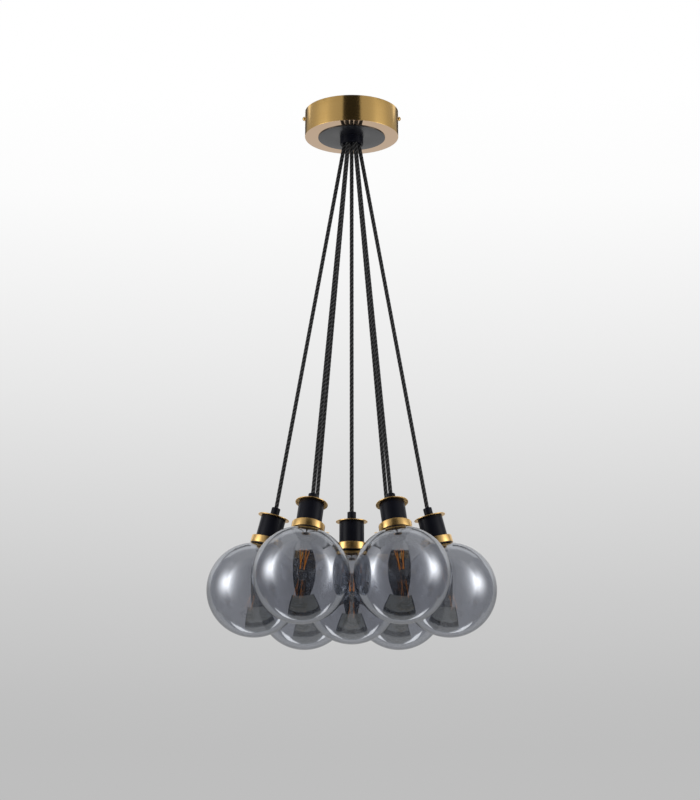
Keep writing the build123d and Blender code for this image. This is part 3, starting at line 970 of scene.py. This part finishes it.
def leads():
    """The cord ends in the canopy: black jackets, brown cores to the left and blue ones to the right."""
    mesh = merged_copy("cord_leads", "lead_wires")
    work = bmesh.new()
    work.from_mesh(mesh)
    waiting = set(work.faces)
    while waiting:
        edge = [waiting.pop()]
        lump = list(edge)
        while edge:
            near = {face for side in edge.pop().edges for face in side.link_faces} & waiting
            waiting -= near
            edge.extend(near)
            lump.extend(near)
        reach = max((vertex.co.x for face in lump for vertex in face.verts), key=abs)
        kind = 0 if abs(reach) < JACKET_REACH else 1 if reach < 0 else 2
        for face in lump:
            face.material_index = kind
    work.to_mesh(mesh)
    work.free()
    finishes = [material(surface) for surface in (lead_jacket, live_core, neutral_core)]
    piece("cord_leads", mesh, "canopy", "lead_sheath", ["lead_wires"], *finishes)


# ---- lamp heads ----
def flange_bottom():
    return GRIP_HEIGHT + FLANGE_THICKNESS


def sleeve_bottom(sizes):
    return flange_bottom() + sizes.sleeve_height


def grip_profile(sizes):
    """The cord grip: a rounded black barrel over the nipple, with a lip where the cord goes in."""
    corners = [
        (sizes.grip_radius, 0.0, GRIP_ROUND),
        (sizes.grip_radius, GRIP_HEIGHT, 0.25 * MM),
        (NIPPLE_RADIUS + FIT, GRIP_HEIGHT, 0.0),
        (NIPPLE_RADIUS + FIT, NIPPLE_TOP, 0.0),
        (GRIP_BORE, NIPPLE_TOP, 0.0),
        (GRIP_BORE, 0.0, 0.4 * MM),
    ]
    return soften(corners, True)


def nipple_profile():
    corners = [
        (NIPPLE_RADIUS, NIPPLE_TOP, 0.3 * MM),
        (NIPPLE_RADIUS, NIPPLE_BOTTOM, 0.3 * MM),
        (NIPPLE_BORE, NIPPLE_BOTTOM, 0.0),
        (NIPPLE_BORE, NIPPLE_TOP, 0.0),
    ]
    return soften(corners, True)


def nut_profile():
    """The lamp nut under the sleeve's top: six flats come from turning it in six segments."""
    top = flange_bottom() + SLEEVE_WALL
    corner = NUT_FLATS / 2 / math.cos(math.radians(30))
    inside = (NIPPLE_RADIUS + FIT) / math.cos(math.radians(30))
    return [(corner, top), (corner, top + NUT_HEIGHT), (inside, top + NUT_HEIGHT), (inside, top)]


def flange_profile(sizes):
    top = GRIP_HEIGHT
    corners = [
        (NIPPLE_RADIUS + FIT, top, 0.0),
        (NIPPLE_RADIUS + FIT, flange_bottom(), 0.0),
        (sizes.flange_radius, flange_bottom(), 0.5 * MM),
        (sizes.flange_radius, top, 0.5 * MM),
    ]
    return soften(corners, True)


def sleeve_profile(sizes):
    """The black sleeve: a thin cup upside down, with its lower rim rounded."""
    top = flange_bottom()
    bottom = sleeve_bottom(sizes)
    inside = sizes.sleeve_radius - SLEEVE_WALL
    corners = [
        (NIPPLE_RADIUS + FIT, top, 0.0),
        (sizes.sleeve_radius, top, 0.4 * MM),
        (sizes.sleeve_radius, bottom, 0.2 * MM),
        (inside, bottom, 0.2 * MM),
        (inside, top + SLEEVE_WALL, 0.3 * MM),
        (NIPPLE_RADIUS + FIT, top + SLEEVE_WALL, 0.0),
    ]
    return soften(corners, True)


def collar_profile(sizes):
    """The brass collar: a shallow cup upside down over the shade ring."""
    top = sleeve_bottom(sizes)
    bottom = top + sizes.collar_height
    inside = sizes.collar_radius - COLLAR_WALL
    bore = HOLDER_RADIUS + SHADE_RING_PLAY
    corners = [
        (bore, top, 0.0),
        (sizes.collar_radius, top, 0.6 * MM),
        (sizes.collar_radius, bottom, 0.6 * MM),
        (inside, bottom, 0.1 * MM),
        (inside, top + COLLAR_WALL, 0.3 * MM),
        (bore, top + COLLAR_WALL, 0.0),
    ]
    return soften(corners, True)


def holder_profile():
    mouth_top = HOLDER_BOTTOM - HOLDER_MOUTH_DEPTH
    rib = 0.5 * MM
    corners = [
        (0.0, NIPPLE_BOTTOM, 0.0),
        (NIPPLE_RADIUS + FIT, NIPPLE_BOTTOM, 0.0),
        (NIPPLE_RADIUS + FIT, HOLDER_TOP, 0.0),
        (HOLDER_NECK, HOLDER_TOP, 0.5 * MM),
        (HOLDER_RADIUS, HOLDER_SHOULDER, 1.0 * MM),
        (HOLDER_RADIUS, HOLDER_BOTTOM - 3.0 * MM, 0.2 * MM),
        (HOLDER_RADIUS - rib, HOLDER_BOTTOM - 2.5 * MM, 0.1 * MM),
        (HOLDER_RADIUS - rib, HOLDER_BOTTOM - 2.0 * MM, 0.1 * MM),
        (HOLDER_RADIUS, HOLDER_BOTTOM - 1.5 * MM, 0.2 * MM),
        (HOLDER_RADIUS, HOLDER_BOTTOM, 0.6 * MM),
        (HOLDER_MOUTH, HOLDER_BOTTOM, 0.4 * MM),
        (HOLDER_MOUTH, mouth_top, 0.2 * MM),
        (HOLDER_BORE, mouth_top, 0.2 * MM),
        (HOLDER_BORE, HOLDER_FLOOR, 0.2 * MM),
        (0.0, HOLDER_FLOOR, 0.0),
    ]
    return soften(corners, False)


def contact_profile():
    top = HOLDER_FLOOR
    bottom = HOLDER_FLOOR + CONTACT_HEIGHT
    corners = [
        (0.0, top, 0.0),
        (CONTACT_RADIUS, top, 0.0),
        (CONTACT_RADIUS, bottom, 0.6 * MM),
        (0.0, bottom, 0.0),
    ]
    return soften(corners, False)


def shade_ring_profile(sizes):
    """The black ring that the glass neck screws into."""
    top = sleeve_bottom(sizes) + COLLAR_WALL
    bore = HOLDER_RADIUS + SHADE_RING_PLAY
    corners = [
        (bore, top, 0.0),
        (SHADE_RING_RADIUS, top, 0.2 * MM),
        (SHADE_RING_RADIUS, SHADE_RING_BOTTOM, 0.4 * MM),
        (SHADE_RING_BORE, SHADE_RING_BOTTOM, 0.3 * MM),
        (SHADE_RING_BORE, top + SHADE_RING_WEB, 0.2 * MM),
        (bore, top + SHADE_RING_WEB, 0.0),
    ]
    return soften(corners, True)


def grub_profile():
    """The grub screw that holds the cord, with a hexagon socket, about its own middle."""
    reach = (GRUB_OUT - GRIP_BORE) / 2
    return [
        (0.0, -reach),
        (GRUB_RADIUS, -reach),
        (GRUB_RADIUS, reach),
        (GRUB_SOCKET, reach),
        (GRUB_SOCKET, 0.0),
        (0.0, 0.0),
    ]


def lamp_head(sizes, key):
    """The fixed parts over one lamp, from the cord grip to the shade ring."""
    place = lamp_place(sizes, key)
    body = f"pendant_{key}"
    sleeve_node = [f"sleeve_and_grip_{key}"]
    holder_node = [f"lampholder_{key}"]
    black = material(black_satin)
    plastic = material(holder_plastic)
    brass = material(lamp_brass)
    steel = material(zinc_steel)
    middle = (GRUB_OUT + GRIP_BORE) / 2
    sideways = Matrix.Translation((0.0, middle, -GRUB_DEPTH)) @ Matrix.Rotation(-math.pi / 2, 4, "X")
    rows = [
        (f"brass_flange_{key}", flange_profile(sizes), True, 96, "lamp_brass", [f"flange_{key}"], brass),
        (f"black_sleeve_{key}", sleeve_profile(sizes), True, 96, "black_satin", sleeve_node, black),
        (f"cord_grip_{key}", grip_profile(sizes), True, 48, "black_satin", sleeve_node, black),
        (f"lamp_nipple_{key}", nipple_profile(), True, 40, "nut_steel", sleeve_node, steel),
        (f"lamp_nut_{key}", nut_profile(), True, 6, "nut_steel", sleeve_node, steel),
        (f"brass_collar_{key}", collar_profile(sizes), True, 96, "lamp_brass", [f"collar_{key}"], brass),
        (f"holder_barrel_{key}", holder_profile(), False, 64, "holder_plastic", holder_node, plastic),
        (f"holder_contact_{key}", contact_profile(), False, 24, "screw_brass", holder_node, brass),
        (f"shade_ring_{key}", shade_ring_profile(sizes), True, 96, "holder_plastic", holder_node, plastic),
    ]
    for name, profile, closed, segments, slot, replaced, finish in rows:
        mesh = turned(name, profile, place, closed=closed, segments=segments)
        piece(name, mesh, body, slot, replaced, finish)
    mesh = turned(f"grub_screw_{key}", grub_profile(), place @ sideways, segments=6)
    piece(f"grub_screw_{key}", mesh, body, "nut_steel", sleeve_node, steel)


# ---- globes ----
def ball(radius, neck, steps):
    """The points of a globe's skin, from its lowest point up to where it meets its neck."""
    sweep = math.pi - math.asin(neck / radius)
    turns = [sweep * n / steps for n in range(steps)]
    return [(radius * math.sin(t), GLOBE_CENTRE + radius * math.cos(t), 0.0) for t in turns]


def globe(sizes, key):
    """One blown globe with its short neck: an outer and an inner skin, joined at the neck's rim."""
    steps = 56
    outer = sizes.globe_radius
    inner = outer - sizes.globe_wall
    join = [GLOBE_CENTRE - math.sqrt(radius**2 - neck**2) for radius, neck in
            ((outer, GLOBE_NECK), (inner, GLOBE_NECK_BORE))]
    outside = ball(outer, GLOBE_NECK, steps) + [(GLOBE_NECK, join[0], GLOBE_FILLET)]
    rim = [(GLOBE_NECK, GLOBE_NECK_TOP, 0.5 * MM), (GLOBE_NECK_BORE, GLOBE_NECK_TOP, 0.5 * MM)]
    inside = [(GLOBE_NECK_BORE, join[1], GLOBE_FILLET)] + ball(inner, GLOBE_NECK_BORE, steps)[::-1]
    profile = soften(outside + rim + inside, False)
    half = len(soften(outside + rim, False)) - 1
    mesh = turned(f"glass_globe_{key}", profile, lamp_place(sizes, key), segments=112, inner_from=half)
    finishes = [material(smoked_glass), material(smoked_glass_inside)]
    piece(f"glass_globe_{key}", mesh, f"glass_{key}", "smoked_glass", [f"globe_{key}"], *finishes)


# ---- candle lamps ----
def candle_line(inward, steps=10):
    """The outline of the lamp's glass: an even curve through its points, up to the pointed tip."""
    points = [Vector((max(radius - inward, 0.0), down)) for radius, down in LAMP_GLASS]
    points[-1].y -= inward
    ways = [Vector(LAMP_GLASS_START).normalized()]
    ways += [(after - before).normalized() for before, after in zip(points, points[2:])]
    ways.append(Vector(LAMP_GLASS_END).normalized())
    line = []
    for n, (first, last) in enumerate(zip(points, points[1:])):
        pull = (last - first).length / 3
        handles = (first + ways[n] * pull, last - ways[n + 1] * pull)
        for step in range(steps):
            t = step / steps
            weights = ((1 - t) ** 3, 3 * t * (1 - t) ** 2, 3 * t * t * (1 - t), t**3)
            line.append(sum((w * p for w, p in zip(weights, (first, *handles, last))), Vector((0.0, 0.0))))
    return [(point.x, point.y) for point in line] + [(0.0, points[-1].y)]


def cap_profile():
    """The lamp's screw cap under its thread, from its contact up to the rim that holds the glass."""
    rim_top = LAMP_CAP_TOP - LAMP_RIM_HEIGHT
    shell = LAMP_CAP_RADIUS - LAMP_THREAD_RIDGE
    corners = [
        (0.0, LAMP_CONTACT, 0.0),
        (CONTACT_RADIUS, LAMP_CONTACT, 0.4 * MM),
        (CONTACT_RADIUS, LAMP_CONTACT + 1.5 * MM, 0.2 * MM),
        (shell, LAMP_CONTACT + 3.5 * MM, 0.5 * MM),
        (shell, rim_top - 1.0 * MM, 0.3 * MM),
        (LAMP_RIM, rim_top, 0.4 * MM),
        (LAMP_RIM, LAMP_CAP_TOP, 0.3 * MM),
        (0.0, LAMP_CAP_TOP, 0.0),
    ]
    return soften(corners, False)


def stem_profile():
    """The pressed glass stem, which tapers from the cap to its wires."""
    corners = [
        (0.0, LAMP_CAP_TOP, 0.0),
        (STEM_RADIUS, LAMP_CAP_TOP, 0.0),
        (STEM_RADIUS, LAMP_CAP_TOP + 4.0 * MM, 1.0 * MM),
        (STEM_RADIUS / 2, STEM_BOTTOM - 4.0 * MM, 1.0 * MM),
        (STEM_RADIUS / 2, STEM_BOTTOM - 1.0 * MM, 0.6 * MM),
        (0.0, STEM_BOTTOM - 1.0 * MM, 0.0),
    ]
    return soften(corners, False)


def wire_profiles():
    """The filaments' frame: a rod down the middle and a thin plate at each end of the filaments."""
    rod_top = STEM_BOTTOM - 2.0 * MM
    rod_foot = FILAMENT_FOOT[1]
    profiles = [[(0.0, rod_top), (STEM_ROD, rod_top), (STEM_ROD, rod_foot), (0.0, rod_foot)]]
    for (radius, down), side in ((FILAMENT_TOP, -1), (FILAMENT_FOOT, 1)):
        upper, lower = sorted((down, down + side * FILAMENT_PLATE))
        edge = radius + FILAMENT_RADIUS + FILAMENT_PLATE_EDGE
        profiles.append([(0.0, upper), (edge, upper), (edge, lower), (0.0, lower)])
    return profiles


def thread_ridge(nodes, inputs):
    """The rolled thread of a lamp cap: a round ridge that climbs it as a spiral."""
    spiral = {
        "Resolution": inputs["Steps"],
        "Rotations": inputs["Turns"],
        "Start Radius": inputs["Radius"],
        "End Radius": inputs["Radius"],
        "Height": inputs["Turns"] * inputs["Pitch"],
    }
    path = nodes.add("GeometryNodeCurveSpiral", (), spiral)
    outline = nodes.add("GeometryNodeCurvePrimitiveCircle", (), {"Resolution": 10, "Radius": inputs["Ridge"]})
    ridge = {"Curve": path, "Profile Curve": outline, "Fill Caps": True}
    return nodes.add("GeometryNodeCurveToMesh", (), ridge)


def filament_bundle(nodes, inputs):
    """Filaments spaced evenly round the lamp's axis, drawn in towards their feet."""
    start = nodes.vector(inputs["Top radius"], 0.0, -inputs["Top"])
    foot = inputs["Foot radius"]
    end = nodes.vector(foot * inputs["Twist"].cosine(), foot * inputs["Twist"].sine(), -inputs["Foot"])
    line = nodes.add("GeometryNodeCurvePrimitiveLine", (), {"Start": start, "End": end})
    line = nodes.add("GeometryNodeResampleCurve", {"mode": "COUNT"}, {"Curve": line, "Count": 24})
    ring = {"Resolution": 12, "Radius": inputs["Radius"]}
    outline = nodes.add("GeometryNodeCurvePrimitiveCircle", (), ring)
    rod = {"Curve": line, "Profile Curve": outline, "Fill Caps": True}
    rod = nodes.add("GeometryNodeCurveToMesh", (), rod)
    points = nodes.add("GeometryNodePoints", (), {"Count": inputs["Count"]})
    turn = nodes.vector(0.0, 0.0, nodes.add("GeometryNodeInputIndex") * TURN / inputs["Count"])
    spread = {"Points": points, "Instance": rod, "Rotation": turn}
    return nodes.add("GeometryNodeInstanceOnPoints", (), spread)


def shared_lamp_meshes():
    """The thread and filaments of one lamp, which every lamp repeats."""
    steel = material(nickel_cap)
    amber = material(filament_amber)
    thread = {
        "Radius": LAMP_CAP_RADIUS - LAMP_THREAD_RIDGE,
        "Ridge": LAMP_THREAD_RIDGE,
        "Pitch": LAMP_THREAD_PITCH,
        "Turns": float(LAMP_THREAD_TURNS),
        "Steps": 36 * LAMP_THREAD_TURNS,
        "Finish": steel,
    }
    filaments = {
        "Top radius": FILAMENT_TOP[0],
        "Top": FILAMENT_TOP[1],
        "Foot radius": FILAMENT_FOOT[0],
        "Foot": FILAMENT_FOOT[1],
        "Twist": FILAMENT_TWIST,
        "Radius": FILAMENT_RADIUS,
        "Count": FILAMENTS,
        "Finish": amber,
    }
    return grown("cap_thread", thread_ridge, thread), grown("filaments", filament_bundle, filaments)


def placed_copy(name, mesh, place):
    """A copy of a shared mesh, hung in its place."""
    work = bmesh.new()
    work.from_mesh(mesh)
    return finished_mesh(bpy.data.meshes.new(name), work, place)


def candle_lamp(sizes, key, thread, filaments):
    """One lamp: its glass, screw cap, stem, wires and filaments."""
    place = lamp_place(sizes, key)
    body = f"lamp_{key}"
    node = [f"bulb_{key}"]
    nickel = material(nickel_cap)
    amber = material(filament_amber)
    skin = candle_line(0.0)
    lining = candle_line(LAMP_WALL)[::-1]
    glass = turned(f"lamp_glass_{key}", skin + lining, place, closed=True, segments=64)
    piece(f"lamp_glass_{key}", glass, body, "bulb_glass", node, material(lamp_glass))
    start = LAMP_CONTACT + LAMP_THREAD_START + LAMP_THREAD_PITCH * LAMP_THREAD_TURNS
    ridge = placed_copy("cap_ridge", thread, Matrix.Translation((0.0, 0.0, -start)))
    cap = turned("cap_shell", cap_profile(), Matrix.Identity(4), segments=48)
    cap = placed_copy(f"lamp_cap_{key}", joined("cap", [cap, ridge]), place)
    piece(f"lamp_cap_{key}", cap, body, "nut_steel", node, nickel)
    stem = turned(f"lamp_stem_{key}", stem_profile(), place, segments=32)
    piece(f"lamp_stem_{key}", stem, body, "bulb_glass", node, material(stem_glass))
    wires = [turned("lamp_wire", line, Matrix.Identity(4), segments=40) for line in wire_profiles()]
    wires = placed_copy(f"lamp_wires_{key}", joined("wires", wires), place)
    piece(f"lamp_wires_{key}", wires, body, "nut_steel", node, nickel)
    spin = 0.0 if key == "centre" else TURN * RING.index(key) / len(RING)
    facing = place @ Matrix.Rotation(FILAMENT_SPIN - spin, 4, "Z")
    rods = placed_copy(f"lamp_filaments_{key}", filaments, facing)
    piece(f"lamp_filaments_{key}", rods, body, "bulb_glass", node, amber)


# ---- stage ----
def stage_plane(name, corners, surface, shown=False):
    """A flat rectangle of the studio. A diffuser lights and is mirrored, and the camera looks past it."""
    mesh = bpy.data.meshes.new(name)
    mesh.from_pydata(corners, [], [(0, 1, 2, 3)])
    made = bpy.data.objects.new(name, mesh)
    bpy.context.scene.collection.objects.link(made)
    mesh.materials.append(material(surface))
    made.visible_camera = shown
    return made


def glow(nodes, shade):
    return nodes.add("ShaderNodeEmission", (), {"Color": full(shade), "Strength": 1.0})


def diffuser_cloth(nodes):
    """Cloth lit from behind: white round its hot spot at each corner, brighter near the top."""
    place = nodes.add("ShaderNodeTexCoord", (), (), "Object")
    x, y, z = nodes.split(place)
    across, deep, up = HOT_SPOT
    aside = (abs(x) - across) ** 2 + (y - deep) ** 2
    far = (aside + (z - up) ** 2) / (2 * HOT_SPREAD**2)
    strip = nodes.blend(math.e ** (-aside / (2 * STRIP_SPREAD**2)), (0.40, 0.40, 0.42), (0.66, 0.66, 0.67))
    cloth = nodes.blend(z.ramp(-0.35, 0.10), (0.32, 0.32, 0.34), strip)
    return glow(nodes, nodes.blend(math.e ** (-far), cloth, (3.8, 3.8, 3.8)))


def tent_floor(nodes):
    """White cloth under the light with a grey strip down its middle, dark at its far end."""
    place = nodes.add("ShaderNodeTexCoord", (), (), "Object")
    x, y, z = nodes.split(place)
    strip_end = TENT_STRIP_HALF + TENT_STRIP_EDGE
    cloth = nodes.blend(abs(x).above(TENT_STRIP_HALF), (0.14, 0.14, 0.13), (0.04, 0.04, 0.04))
    grain = nodes.noise(place, 9.0, 3.0)
    edge = y + grain * 0.12 - 0.06
    dark = edge.ramp(LIT_FLOOR_END, LIT_FLOOR_END + 0.03)
    grey = edge.ramp(DARK_FLOOR_END, DARK_FLOOR_END + 0.04)
    cloth = nodes.blend(dark, cloth, (0.02, 0.02, 0.018))
    cloth = nodes.blend(grey, cloth, (0.24, 0.24, 0.23))
    return glow(nodes, nodes.blend(abs(x).above(strip_end), cloth, (0.33, 0.33, 0.35)))


def dark_flag(nodes):
    """Black cloth that turns grey outwards, mirrored in the edges of the canopy."""
    place = nodes.add("ShaderNodeTexCoord", (), (), "Object")
    x, y, z = nodes.split(place)
    return glow(nodes, nodes.blend(abs(x).ramp(FLAG_DARK_END, 0.9), (0.04, 0.04, 0.04), (0.38, 0.38, 0.38)))


def floor_card(nodes):
    return glow(nodes, (1.8, 1.8, 1.8))


def pale_floor(nodes):
    """Pale painted floor with a faint clouding."""
    place = nodes.add("ShaderNodeTexCoord", (), (), "Object")
    cloud = nodes.noise(place, 0.8, 3.0)
    shade = nodes.blend(cloud, (0.62, 0.62, 0.62), (0.66, 0.66, 0.66))
    return nodes.principled(Base_Color=shade, Roughness=0.9, Specular_IOR_Level=0.1)


def backdrop(nodes, height):
    """The wall behind the light, by the height of the look: white above, grey below."""
    stops = [(0.0, colours().wall_foot)]
    stops += [(math.sin(math.radians(up)), [level] * 3) for up, level in WALL_LEVELS]
    stops.append((math.sin(math.radians(WALL_WHITE_FROM)), colours().wall_top))
    return nodes.add("ShaderNodeValToRGB", {"stops": stops}, {0: height})


def studio_world():
    """The world: the wall behind, pale light for matt pieces, and for mirrors a dark room, grey above."""
    world = bpy.data.worlds.new("studio")
    bpy.context.scene.world = world
    world.use_nodes = True
    world.node_tree.nodes.clear()
    nodes = Nodes(world.node_tree)
    look = nodes.add("ShaderNodeTexCoord", (), (), "Generated")
    x, y, z = nodes.split(look)
    wall = backdrop(nodes, z)
    above = nodes.blend(z.ramp(0.74, 0.79), (0.018, 0.018, 0.02), (0.48, 0.48, 0.49))
    mirrored_wall = nodes.blend(y.ramp(0.25, 0.45), above, wall)
    light_path = nodes.add("ShaderNodeLightPath").socket.node
    rays = {name: Value(nodes, light_path.outputs[name]) for name in ("Is Glossy Ray", "Is Diffuse Ray")}
    shade = nodes.blend(rays["Is Glossy Ray"], wall, mirrored_wall)
    shade = nodes.blend(rays["Is Diffuse Ray"], shade, (0.85, 0.85, 0.87))
    background = nodes.add("ShaderNodeBackground", (), {"Color": shade, "Strength": 1.0})
    nodes.add("ShaderNodeOutputWorld", (), {"Surface": background})


def diffusers():
    """The cloth at the sides, in front with the camera's slot between, and underneath, with its cards."""
    low = PANEL_BOTTOM
    high = PANEL_TOP
    for side, sign in (("left", -1), ("right", 1)):
        x = sign * SIDE_X
        corners = [(x, FRONT_Y, low), (x, PANEL_BACK_Y, low), (x, PANEL_BACK_Y, high), (x, FRONT_Y, high)]
        stage_plane(f"side_diffuser_{side}", corners, diffuser_cloth)
        inner = sign * SLOT_HALF
        corners = [(inner, FRONT_Y, low), (x, FRONT_Y, low), (x, FRONT_Y, high), (inner, FRONT_Y, high)]
        stage_plane(f"front_diffuser_{side}", corners, diffuser_cloth)
        inner, outer = sign * FLAG_INNER, sign * FLAG_OUTER
        foot, head, back = FLAG_BOTTOM, FLAG_TOP, PANEL_BACK_Y
        corners = [(inner, back, foot), (outer, back, foot), (outer, back, head), (inner, back, head)]
        stage_plane(f"dark_flag_{side}", corners, dark_flag).visible_diffuse = False
        across, deep, up = CARD_PLACE
        long, short = CARD_REACH
        near_end = (sign * (across - long), deep + short, up)
        far_end = (sign * (across + long), deep - short, up)
        corners = [near_end, (sign * across, deep - short, up), far_end, (sign * across, deep + short, up)]
        stage_plane(f"floor_card_{side}", corners, floor_card)
    near, far = FRONT_Y, TENT_FLOOR_END
    corners = [(-SIDE_X, near, low), (SIDE_X, near, low), (SIDE_X, far, low), (-SIDE_X, far, low)]
    stage_plane("tent_floor", corners, tent_floor).visible_diffuse = False


# ---- operators ----
class PendantOperator:
    """What every operator here shares."""

    bl_options = {"REGISTER", "UNDO"}


class PENDANT_OT_camera(PendantOperator, bpy.types.Operator):
    """Look up at the light from the photograph's place"""

    bl_idname = "pendant.camera"
    bl_label = "Camera"

    def execute(self, context):
        data = bpy.data.cameras.new("camera")
        data.lens = CAMERA_LENS
        camera = bpy.data.objects.new("camera", data)
        camera.location = CAMERA_PLACE
        camera.rotation_euler = (math.pi / 2 + CAMERA_PITCH, 0.0, 0.0)
        context.scene.collection.objects.link(camera)
        context.scene.camera = camera
        return {"FINISHED"}


class PENDANT_OT_cords(PendantOperator, bpy.types.Operator):
    """Hang the seven twisted fabric cords"""

    bl_idname = "pendant.cords"
    bl_label = "Cords"

    def execute(self, context):
        for key in PENDANTS:
            fabric_cord(context.scene.pendant_sizes, key)
        return {"FINISHED"}


class PENDANT_OT_canopy(PendantOperator, bpy.types.Operator):
    """Make the brass drum, its black cover disc and the cord hub"""

    bl_idname = "pendant.canopy"
    bl_label = "Canopy"

    def execute(self, context):
        sizes = context.scene.pendant_sizes
        canopy_cup(sizes)
        canopy_disc(sizes)
        carried("black_hub", "cord_hub", "black_satin", black_satin)
        return {"FINISHED"}


class PENDANT_OT_side_screws(PendantOperator, bpy.types.Operator):
    """Make the two domed screws at the drum's sides"""

    bl_idname = "pendant.side_screws"
    bl_label = "Side screws"

    def execute(self, context):
        for side, sign in (("left", -1), ("right", 1)):
            side_screw(context.scene.pendant_sizes, side, sign)
        return {"FINISHED"}


class PENDANT_OT_fittings(PendantOperator, bpy.types.Operator):
    """Finish the fittings inside the canopy: bracket, nut, strain relief, terminals and leads"""

    bl_idname = "pendant.fittings"
    bl_label = "Hidden fittings"

    def execute(self, context):
        carried("steel_bracket", "ceiling_bracket", "bracket_steel", zinc_steel)
        carried("steel_hub_nut", "hub_nut", "nut_steel", zinc_steel)
        carried("cord_clamp", "strain_relief", "clamp_plastic", clamp_plastic)
        carried("nylon_strips", "terminal_strips", "terminal_plastic", terminal_nylon)
        carried("strip_screws", "terminal_screws", "nut_steel", zinc_steel)
        leads()
        return {"FINISHED"}


class PENDANT_OT_lamp_heads(PendantOperator, bpy.types.Operator):
    """Make the grips, flanges, sleeves, collars and lampholders"""

    bl_idname = "pendant.lamp_heads"
    bl_label = "Lamp heads"

    def execute(self, context):
        for key in PENDANTS:
            lamp_head(context.scene.pendant_sizes, key)
        return {"FINISHED"}


class PENDANT_OT_globes(PendantOperator, bpy.types.Operator):
    """Blow the seven smoked glass globes"""

    bl_idname = "pendant.globes"
    bl_label = "Globes"

    def execute(self, context):
        for key in PENDANTS:
            globe(context.scene.pendant_sizes, key)
        return {"FINISHED"}


class PENDANT_OT_lamps(PendantOperator, bpy.types.Operator):
    """Make the seven candle lamps"""

    bl_idname = "pendant.lamps"
    bl_label = "Candle lamps"

    def execute(self, context):
        thread, filaments = shared_lamp_meshes()
        for key in PENDANTS:
            candle_lamp(context.scene.pendant_sizes, key, thread, filaments)
        return {"FINISHED"}


class PENDANT_OT_stage(PendantOperator, bpy.types.Operator):
    """Set the floor, the backdrop and the soft studio light"""

    bl_idname = "pendant.stage"
    bl_label = "Stage"

    def execute(self, context):
        half = FLOOR_SIZE / 2
        signs = ((-1, -1), (1, -1), (1, 1), (-1, 1))
        corners = [(x * half, y * half, FLOOR_Z) for x, y in signs]
        stage_plane("floor", corners, pale_floor, shown=True).visible_glossy = False
        diffusers()
        studio_world()
        scene = context.scene
        scene.view_settings.view_transform = "Standard"
        scene.cycles.transparent_max_bounces = 40
        scene.cycles.max_bounces = 14
        scene.cycles.glossy_bounces = 8
        return {"FINISHED"}


class PENDANT_PT_panel(bpy.types.Panel):
    """Lists the light's parts, sizes and colours"""

    bl_idname = "PENDANT_PT_panel"
    bl_label = "Cluster pendant"
    bl_space_type = "VIEW_3D"
    bl_region_type = "UI"
    bl_category = "Cluster pendant"

    def draw(self, context):
        for operator in OPERATORS:
            self.layout.operator(operator.bl_idname)
        for group in (context.scene.pendant_sizes, context.scene.pendant_colours):
            box = self.layout.box()
            for name in group.bl_rna.properties.keys():
                if name not in ("rna_type", "name"):
                    box.prop(group, name)


OPERATORS = (
    PENDANT_OT_camera,
    PENDANT_OT_cords,
    PENDANT_OT_canopy,
    PENDANT_OT_side_screws,
    PENDANT_OT_fittings,
    PENDANT_OT_lamp_heads,
    PENDANT_OT_globes,
    PENDANT_OT_lamps,
    PENDANT_OT_stage,
)
CLASSES = (PendantSizes, PendantColours, *OPERATORS, PENDANT_PT_panel)


def register():
    for kind in CLASSES:
        bpy.utils.register_class(kind)
    bpy.types.Scene.pendant_sizes = PointerProperty(type=PendantSizes)
    bpy.types.Scene.pendant_colours = PointerProperty(type=PendantColours)


def unregister():
    del bpy.types.Scene.pendant_colours
    del bpy.types.Scene.pendant_sizes
    for kind in reversed(CLASSES):
        bpy.utils.unregister_class(kind)


def main():
    register()
    bpy.ops.pendant.camera()
    bpy.ops.pendant.cords()
    bpy.ops.pendant.canopy()
    bpy.ops.pendant.side_screws()
    bpy.ops.pendant.fittings()
    bpy.ops.pendant.lamp_heads()
    bpy.ops.pendant.globes()
    bpy.ops.pendant.lamps()
    bpy.ops.pendant.stage()


if __name__ == "__main__":
    main()
